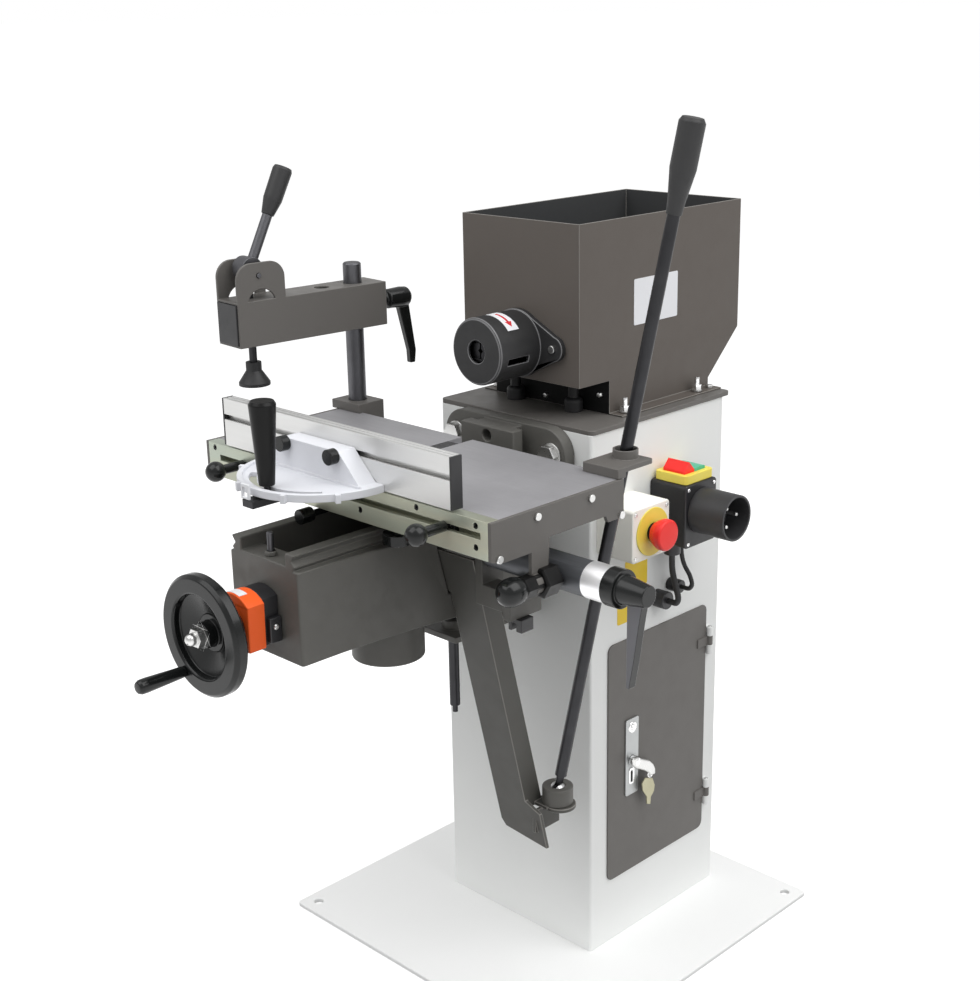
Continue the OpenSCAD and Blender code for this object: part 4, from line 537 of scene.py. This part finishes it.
def thread(name, at, axis, diameter, long, pitch, mat, body):
    """Stud end with ring-shaped grooves for its thread and a chamfered tip."""
    radius = diameter / 2
    profile = [(0, 0), (radius, 0)]
    turns = max(2, int((long - 1.5) / pitch))
    for i in range(turns):
        start = i * pitch
        profile += [(radius, start + 0.15 * pitch), (radius * 0.88, start + 0.5 * pitch),
                    (radius, start + 0.85 * pitch)]
    profile += [(radius, turns * pitch), (radius * 0.8, long), (0, long)]
    lathe(name, profile, mat, body, at, axis, STUD_SIDES, angle=CRISP_ANGLE)


# Base plate and cabinet

FRAME = BODY_OF["cabinet"]
PLATE_OVERHANG = 2
CAB_SIDE = span("motor_plate")[1].x - PLATE_OVERHANG
STICKERS = ((67, 112, 510, 551), (52, 80, 467, 498))

dress("base_plate", "base_paint", 1.2)
dress("cabinet", "cream_paint", 0.5)
for i, edges in enumerate(STICKERS):
    prism(f"side_blank_{i}", rounded(*edges, 3), CAB_SIDE - 0.2, CAB_SIDE + 0.35, "yellow_label", FRAME, "yz")


# Side door with its lock, handle and key

DOOR = BODY_OF["door"]
HANDLE = BODY_OF["lock_handle"]
LOCK_SETBACK = 0.6
LOCK_BOSS = [(0, 2.8), (3.4, 2.6), (4.2, 1.2), (6, 1.6), (7.6, 1), (8.2, 0), (0, 0)]
HANDLE_OUTLINE = [(70, 275), (78.5, 274), (93, 266), (106, 259), (114, 251), (118, 243), (118.5, 234),
                  (107.5, 236), (103, 242), (95, 248), (86, 253), (77, 258), (71, 264)]
HUB_Z = 266
HUB = [(0, 0), (8, 0), (8, 6), (6.6, 8.6), (3.4, 10.2), (0, 10.6)]
RING_Y = 109
RING_Z = 238
RING_RADIUS = 5
RING_WIRE = 1.1
RING_STEPS = 12
KEY_OUTLINE = [(98, 236), (113, 230), (118, 218), (116.5, 209), (110, 203), (109, 192), (102, 195),
               (101, 206.5), (92.5, 219), (91.5, 230)]

dress("door", "grey_paint", 0.5)
lock_low, lock_high = span("door_lock")
lock_y = (lock_low.y + lock_high.y) / 2
prism("lock_plate", rounded(lock_low.y, lock_high.y, lock_low.z, lock_high.z, 3),
      lock_low.x, lock_high.x - LOCK_SETBACK, "lock_steel", DOOR, "yz", bevel=0.5, replaces=("door_lock",))
lathe("lock_boss", LOCK_BOSS, "chrome", DOOR, (lock_high.x - LOCK_SETBACK, lock_y, lock_high.z - 13), "x")
prism("key_boss", rounded(lock_y - 7, lock_y + 4, lock_low.z + 16, lock_low.z + 40, 4),
      lock_high.x - 0.7, lock_high.x + 0.3, "chrome", DOOR, "yz", bevel=0.3)
# The keyhole is a flat near-black patch: painted shade in the key slot.
prism("keyhole_shade", rounded(lock_y - 4, lock_y, lock_low.z + 19, lock_low.z + 36, 1.5),
      lock_high.x + 0.2, lock_high.x + 0.5, "shade_black", DOOR, "yz")
prism("handle_paddle", HANDLE_OUTLINE, lock_high.x + 2.5, lock_high.x + 9.5, "zinc", HANDLE, "yz",
      bevel=2.4, replaces=("lock_handle",), segments=3)
lathe("handle_hub", HUB, "chrome", HANDLE, (lock_high.x, lock_y, HUB_Z), "x")
ring_angles = [2 * math.pi * k / RING_STEPS for k in range(RING_STEPS + 1)]
lathe("key_ring", [(RING_RADIUS + RING_WIRE * math.cos(a), RING_WIRE * math.sin(a)) for a in ring_angles],
      "chrome", HANDLE, (lock_high.x + 7, RING_Y, RING_Z), "x")
prism("key", KEY_OUTLINE, lock_high.x + 6, lock_high.x + 8.4, "key_brass", HANDLE, "yz", bevel=0.6)


# Motor, its plate and the hood

HOOD_FLANGE = 22
FLANGE_THICK = 3
FLANGE_BOLT_OUT = 11.5
FLANGE_BOLT_YS = (94, 243)
WASHER_RADIUS = 7.5
WASHER_HIGH = 1.6
NUT_HIGH = 7
HOOD_SCREWS = ((-12, 747), (81, 762))
HOOD_SCREW_IN = 57
HOOD_PLATE = (124, 212, 845.6, 904.5)

dress("motor_plate", "grey_paint", 0.8)
# The hood's rounded edges get a lighter colour: a painted highlight.
hood = dress("hood", "hood_paint", 0.5, edge="edge_highlight_paint")[0]
hood_low, hood_high = span("hood")
hood_left = hood_low.x + HOOD_FLANGE
hood_right = hood_high.x - HOOD_FLANGE
plate_top = span("motor_plate")[1].z
# The hood's inner faces above the motor plate are painted near black: painted shade inside the hood.
paint(hood, "hood_inside_shade", lambda centre, normal: hood_left + 1 < centre.x < hood_right - 1
      and hood_low.y + 1 < centre.y < hood_high.y - 1 and plate_top + 2.5 <= centre.z < hood_high.z - 0.5)
dress("motor_housing", "motor_paint", 0.5)
dress("motor_covers", "motor_paint", 0.5, pick=lambda number: "steel" if number > 2 else None)
dress("motor_shaft", "steel", 0.5, pick=lambda number: "black_plastic" if number == 1 else None)
dress("buffers", "rubber", 0.6)
# The hood's lower front wall behind the buffers is painted near black: painted shade of the cavity under the
# hood.
paint(hood, "shade_black", lambda centre, normal: centre.z < 770 and 70 < centre.y < 90 and normal.y < -0.5)
prism("hood_blank", rounded(*HOOD_PLATE, 2), hood_right - 0.1, hood_right + 0.4, "white_label", FRAME, "yz")
flange_bolts = [(hood_right + FLANGE_BOLT_OUT, y) for y in FLANGE_BOLT_YS]
flange_bolts += [(hood_left - FLANGE_BOLT_OUT, y) for y in FLANGE_BOLT_YS]
flange_top = hood_low.z + FLANGE_THICK
for i, (x, y) in enumerate(flange_bolts):
    lathe(f"flange_washer_{i}", [(0, 0), (WASHER_RADIUS, 0), (WASHER_RADIUS, WASHER_HIGH), (0, WASHER_HIGH)],
          "zinc", FRAME, (x, y, flange_top), segments=32)
    hex_nut(f"flange_nut_{i}", (x, y, flange_top + WASHER_HIGH), "z", 12, NUT_HIGH, "chrome", FRAME)
    thread(f"flange_stud_{i}", (x, y, flange_top + (WASHER_HIGH + NUT_HIGH)), "z", 7, 10, 1.6, "chrome",
           FRAME)
for i, (x, z) in enumerate(HOOD_SCREWS):
    pan_head(f"hood_screw_{i}", (x, hood_low.y + HOOD_SCREW_IN, z), "-y", 8, 4, "zinc", FRAME)


# Chuck and its guard

SPIN_X = -4
SPIN_Z = 828
GUARD_RADIUS = 42.5
ARROW_Y = -26.25
ARROW_HALF = 5.5
ARROW_TAPER = 6.3


def wrapped(name, bands, radius, mat):
    """Thin sticker on the guard: bands of (angle, y, y) joined along the angle."""
    bm = bmesh.new()
    rows = []
    for angle, front, back in bands:
        cosine = math.cos(math.radians(angle))
        sine = math.sin(math.radians(angle))
        corners = ((radius, front), (radius, back), (radius - 0.5, back), (radius - 0.5, front))
        rows.append([bm.verts.new(mm(SPIN_X + r * cosine, y, SPIN_Z + r * sine)) for r, y in corners])
    for one, two in zip(rows, rows[1:]):
        for i in range(4):
            j = (i + 1) % 4
            bm.faces.new([one[i], two[i], two[j], one[j]])
    bm.faces.new(rows[0])
    bm.faces.new(rows[-1][::-1])
    show(name, to_mesh(bm, name), mat, FRAME)


def band(start, turn, steps, front, back):
    """Even bands of a sticker, from a start angle down through a turn in degrees."""
    return [(start - turn * i / steps, front, back) for i in range(steps + 1)]


dress("chuck_body", "dark_steel", 0.8)
dress("chuck_jaw_left", "dark_steel", 0.4)
dress("chuck_jaw_right", "dark_steel", 0.4)
# All the guard's rounded edges get a lighter grey: rubbed paint and a painted highlight together.
dress("chuck_guard", "guard_grey", 1.0, segments=3, edge="guard_edge_wear_and_highlight")
wrapped("guard_strip", band(97, 58, 20, -36, -17), GUARD_RADIUS + 0.35, "white_label")
wrapped("guard_arrow_shaft", band(87, 30, 12, -28, -24.5), GUARD_RADIUS + 0.5, "red_print")
arrow_widths = [ARROW_HALF * (1 - i / ARROW_TAPER) for i in range(7)]
wrapped("guard_arrow_tip", [(57 - 11 * i / 6, ARROW_Y - width, ARROW_Y + width)
                            for i, width in enumerate(arrow_widths)], GUARD_RADIUS + 0.5, "red_print")
dress("column_bracket", "cast_grey", 1.5, segments=3)
dress("frame_bolts", "zinc", 0.5, pick=lambda number: "dark_steel" if number in (2, 3) else None)
dress("lift_nut_plate", "cast_grey", 0.8)


# Knee and what it carries

KNEE = BODY_OF["knee"]
COUNTER_BOTTOM = 557
COUNTER_TOP = 585
COUNTER_BODY = ([(-26, COUNTER_BOTTOM), (26, COUNTER_BOTTOM), (27, COUNTER_TOP + 26)]
                + arc(0, COUNTER_TOP, 37.5, 44, 136, 14) + [(-27, COUNTER_TOP + 26)])
COUNTER_BACK = ([(-22, COUNTER_BOTTOM + 1), (22, COUNTER_BOTTOM + 1), (23, COUNTER_TOP + 28)]
                + arc(0, COUNTER_TOP, 37, 51, 129, 12) + [(-23, COUNTER_TOP + 28)])
COUNTER_WINDOW = arc(0, COUNTER_TOP, 37.9, 73, 124, 10) + arc(0, COUNTER_TOP, 37.2, 124, 73, 10)
COUNTER_LUG = [(16, -422), (29, -422), (29, -405.5), (16, -405.5)]

dress("knee", "cast_grey", 1.6, segments=3, pick=lambda number: "grey_steel" if number in (1, 3) else None)
# The lever arm's paint is darkened as painted shade under the table, and its rounded edges get a lighter
# colour as a painted highlight.
dress("lever_arm", "arm_shaded_paint", 0.9, edge="edge_highlight_paint")
dress("pivot_cup", "cast_grey", 1.2)
dress("lift_housing", "cast_grey", 1.5)
prism("counter_body", COUNTER_BODY, -449.5, -426, "orange_plastic", KNEE, bevel=1.6,
      replaces=("depth_counter",), segments=3)
prism("counter_back", COUNTER_BACK, -426.3, -405, "black_plastic", KNEE, bevel=0.8,
      replaces=("depth_counter",))
prism("counter_lug", COUNTER_LUG, 561, 591, "black_plastic", KNEE, "xy", bevel=1.4)
pan_head("counter_screw", (29, -414, 580), "x", 7, 2.4, "zinc", KNEE)
prism("counter_window", COUNTER_WINDOW, -448, -437, "white_label", KNEE)
dress("stop_bracket", "cast_grey", 1.0, pick=lambda number: "black_plastic" if number == 1 else None)
dress("handwheel", "gloss_black", 1.0, segments=3)
dress("handwheel_shaft", "zinc", 0.5)
dress("crank_handle", "gloss_black", 0.8, segments=3)
dress("lift_screw", "dark_steel", 0.5)
dress("stop_bar", "bar_black", 0.6, pick=lambda number: "ring_aluminium" if number == 1 else None)
stop_lever = dress("stop_bar_lever", "gloss_black", 0.8)[0]
# The blade's front faces are grey and the rest gloss black: a painted highlight on the lit face.
paint(stop_lever, "blade_highlight_grey", lambda centre, normal: normal.y < -0.8 and centre.z < 625 and centre.x > 334)


# Saddle and table

TABLE = BODY_OF["front_rail"]
STOP = BODY_OF["depth_screw"]
RAIL_MIDDLE_X = 2
RAIL_MIDDLE_HALF = 18
RAIL_SCREW_IN = 3.9
RAIL_SCREWS = ((-222, 718), (-221, 694), (-238, 708), (52, 695),
               (146, 718), (238, 717), (237, 693), (251, 706))
DEPTH_CAP = [(0, 35), (6, 34.4), (11, 31.5), (14.5, 26.5), (16, 20), (16, 13), (14.5, 8), (12, 6), (0, 6)]
DEPTH_HEX = [(0, 0), (13.2, 0), (13.2, 24), (11.5, 26), (0, 26)]
DEPTH_NUT = [(0, 0), (19, 0), (19, 22), (16.5, 24), (0, 24)]

dress("saddle", "cast_grey", 1.0, pick=lambda number: "gloss_black" if number > 0 else None)
dress("table_top", "table_grey", 0.5)
rail = dress("front_rail", "yellow_zinc", 0.4)[0]
rail_low, rail_high = span("front_rail")
# The faces inside the rail's slot, away from the middle, are painted near black: painted shade in the slot.
paint(rail, "shade_black", lambda centre, normal: rail_low.y + 1 < centre.y < rail_high.y - 0.5
      and rail_low.z + 5 < centre.z < rail_high.z - 5
      and abs(centre.x - RAIL_MIDDLE_X) > RAIL_MIDDLE_HALF and abs(normal.x) < 0.9)
for i, (x, z) in enumerate(RAIL_SCREWS):
    socket_head(f"rail_screw_{i}", (x, rail_low.y + RAIL_SCREW_IN, z), "-y", 6.6, 3.2, "gloss_black", TABLE)
dress("end_plates", "grey_paint", 0.5)
dress("table_rods", "zinc", 0.5)
dress("depth_screw", "dark_steel", 0.5)
depth_low, depth_high = span("depth_screw")
depth_x = (depth_low.x + depth_high.x) / 2
depth_z = (depth_low.z + depth_high.z) / 2
lathe("depth_cap", DEPTH_CAP, "gloss_black", STOP, (depth_x, depth_low.y + 29, depth_z), "-y",
      replaces=("depth_screw",))
lathe("depth_hex", DEPTH_HEX, "satin_black", STOP, (depth_x, depth_low.y + 50, depth_z), "-y",
      segments=HEX_SIDES, angle=CRISP_ANGLE, bevel=0.4)
lathe("depth_nut", DEPTH_NUT, "satin_black", TABLE, (depth_x, depth_low.y + 74, depth_z), "-y",
      segments=HEX_SIDES, angle=CRISP_ANGLE, bevel=0.5)
dress("rail_stop_left", "gloss_black", 0.5)
dress("rail_stop_right", "gloss_black", 0.5)
dress("lever_bush", "grey_paint", 0.8)
dress("clamp_base", "grey_paint", 0.8)


# Mitre gauge and fence

dress("miter_bar", "dark_steel", 0.4, pick=lambda number: "white_label" if number == 1 else None)
dress("miter_gauge", "cast_white", 0.6, pick=lambda number: "gloss_black" if number > 0 else None)
dress("miter_handle", "satin_black", 0.8, segments=3)
dress("fence", "aluminium", 0.3, pick=lambda number: "black_plastic" if number > 0 else None)


# Work clamp

dress("clamp_post", "grey_steel", 0.5)
dress("clamp_arm", "grey_paint", 0.7, pick=lambda number: "black_plastic" if number == 1 else None)
dress("clamp_handle", "gloss_black", 1.2, segments=3)
dress("clamp_lever", "grey_steel", 0.5, pick=lambda number: "grip_dark" if number == 1 else None)
dress("clamp_plunger", "dark_steel", 0.5, pick=lambda number: "rubber" if number == 0 else None)


# Joystick

dress("lever_ball", "steel", 0.2)
dress("joystick", "dark_steel", 0.3, pick=lambda number: "grip_dark" if number == 1 else None)


# Switches

BOX_SCREWS = (("switch", (122, 174), (574, 646), "chrome"), ("estop", (17, 77), (582, 639), "zinc"))
NO_SCREW = (174, 574)
ESTOP_HEAD_DEEP = 20.8

dress("switch_box", "black_plastic", 1.5, segments=3)
dress("inlet_socket", "inlet_black", 0.8, pick=lambda number: "zinc" if number > 0 else None)
dress("estop_box", "ivory_plastic", 1.5, segments=3)
switch_low, switch_high = span("switch_box")
for tag, screw_ys, screw_zs, mat in BOX_SCREWS:
    corners = [(y, z) for y in screw_ys for z in screw_zs]
    for i, (y, z) in enumerate(corners):
        if (y, z) != NO_SCREW:
            pan_head(f"{tag}_screw_{i}", (switch_high.x, y, z), "x", 5.5, 1.6, mat, FRAME)
dress("yellow_bezels", "yellow_plastic", 0.8)
dress("cable_glands", "black_plastic", 1.0)
estop_face = span("estop_button")[1].x
estop = dress("estop_button", "red_plastic", 0.8, segments=3)[0]
paint(estop, "black_plastic", lambda centre, normal: centre.x < estop_face - ESTOP_HEAD_DEEP)
dress("start_button", "green_plastic", 0.6)
dress("stop_button", "red_plastic", 0.6)


# The two switch leads

LEAD_AT = Vector((CAB_SIDE, switch_low.y, switch_low.z))
LEAD_A = [(19, 24, -20), (19, 24, -28), (21, 23, -44), (28, 21, -62),
          (35, 18, -76), (34, 16, -83), (28, 16, -84), (20, 16, -84)]
LEAD_B = [(19, 44, -14), (19, 44, -24), (22, 46, -40), (30, 48, -54),
          (35, 47, -65), (33, 45, -71), (28, 44, -72), (20, 44, -72)]
STEPS_PER_POINT = 4


def smooth_curve(points):
    """Denser points on a smooth curve through a list of points."""
    last = len(points) - 1
    dense = []
    for i in range(last):
        p0, p1, p2, p3 = (points[max(0, min(last, i + k))] for k in (-1, 0, 1, 2))
        for step in range(STEPS_PER_POINT):
            t = step / STEPS_PER_POINT
            dense.append(0.5 * (2 * p1 + (p2 - p0) * t + (2 * p0 - 5 * p1 + 4 * p2 - p3) * t * t
                                + (3 * p1 - p0 - 3 * p2 + p3) * t ** 3))
    return dense + [points[-1]]


def lead(name, route, radius):
    """Sheathed lead along a route, as one open curve."""
    points = smooth_curve([LEAD_AT + Vector(point) for point in route])
    curve = bpy.data.curves.new(name, "CURVE")
    curve.dimensions = "3D"
    curve.bevel_depth = radius * MM
    curve.bevel_resolution = 6
    spline = curve.splines.new("POLY")
    spline.points.add(len(points) - 1)
    for spot, point in zip(spline.points, points):
        spot.co = (*(point * MM), 1)
    curve.materials.append(MATS["rubber"])
    piece = bpy.data.objects.new(name, curve)
    bpy.context.scene.collection.objects.link(piece)
    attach(piece, FRAME)
    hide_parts("switch_leads")
    long = sum((two - one).length for one, two in zip(points, points[1:])) * MM


lead("lead_a", LEAD_A, 4)
lead("lead_b", LEAD_B, 3)


# Floor, background and light

FLOOR_HALF = 300
FLOOR_DROP = 0.0005
FLOOR_GLOW = 0.52
SKY = 0.62
GROUND = 0.2

floor_look = Material("floor", (0.8, 0.8, 0.8), 0.9, spec=0.0)
floor_look.set("Emission Color", (1, 1, 1, 1))
floor_look.set("Emission Strength", FLOOR_GLOW)
floor_bm = bmesh.new()
for x, y in ((-1, -1), (1, -1), (1, 1), (-1, 1)):
    floor_bm.verts.new((x * FLOOR_HALF, y * FLOOR_HALF, -FLOOR_DROP))
floor_bm.faces.new(floor_bm.verts)
floor_mesh = bpy.data.meshes.new("floor")
floor_bm.to_mesh(floor_mesh)
floor_bm.free()
floor_mesh.materials.append(MATS["floor"])
floor = bpy.data.objects.new("floor", floor_mesh)
bpy.context.scene.collection.objects.link(floor)
floor.visible_diffuse = False

world = bpy.data.worlds.new("studio")
world.use_nodes = True
sky = world.node_tree
height = sky.nodes.new("ShaderNodeSeparateXYZ")
sky.links.new(sky.nodes.new("ShaderNodeTexCoord").outputs["Generated"], height.inputs["Vector"])


def fade(*limits):
    """World strength that goes from one value to another with the height of the ray."""
    remap = sky.nodes.new("ShaderNodeMapRange")
    for socket, limit in zip(("From Min", "From Max", "To Min", "To Max"), limits):
        remap.inputs[socket].default_value = limit
    sky.links.new(height.outputs["Z"], remap.inputs["Value"])
    return remap.outputs["Result"]


both_fades = sky.nodes.new("ShaderNodeMath")
both_fades.operation = "MULTIPLY"
sky.links.new(fade(-0.08, -0.03, GROUND, 1.0), both_fades.inputs[0])
sky.links.new(fade(0.03, 0.12, 1.0, SKY), both_fades.inputs[1])
sky.links.new(both_fades.outputs[0], sky.nodes["Background"].inputs["Strength"])
sky.nodes["Background"].inputs["Color"].default_value = (1, 1, 1, 1)
bpy.context.scene.world = world


def lamp(name, at, target, size, power):
    """Square area light at a point in mm, aimed at another."""
    light = bpy.data.lights.new(name, "AREA")
    light.shape = "SQUARE"
    light.size = size
    light.energy = power
    holder = bpy.data.objects.new(name, light)
    bpy.context.scene.collection.objects.link(holder)
    holder.location = mm(*at)
    holder.rotation_euler = (mm(*target) - mm(*at)).to_track_quat("-Z", "Y").to_euler()


lamp("key", (-500, -1500, 2900), (0, -100, 600), 2.2, 31)
lamp("side", (1500, 300, 2700), (60, 100, 500), 2.4, 47)
bpy.context.scene.view_settings.view_transform = "Standard"
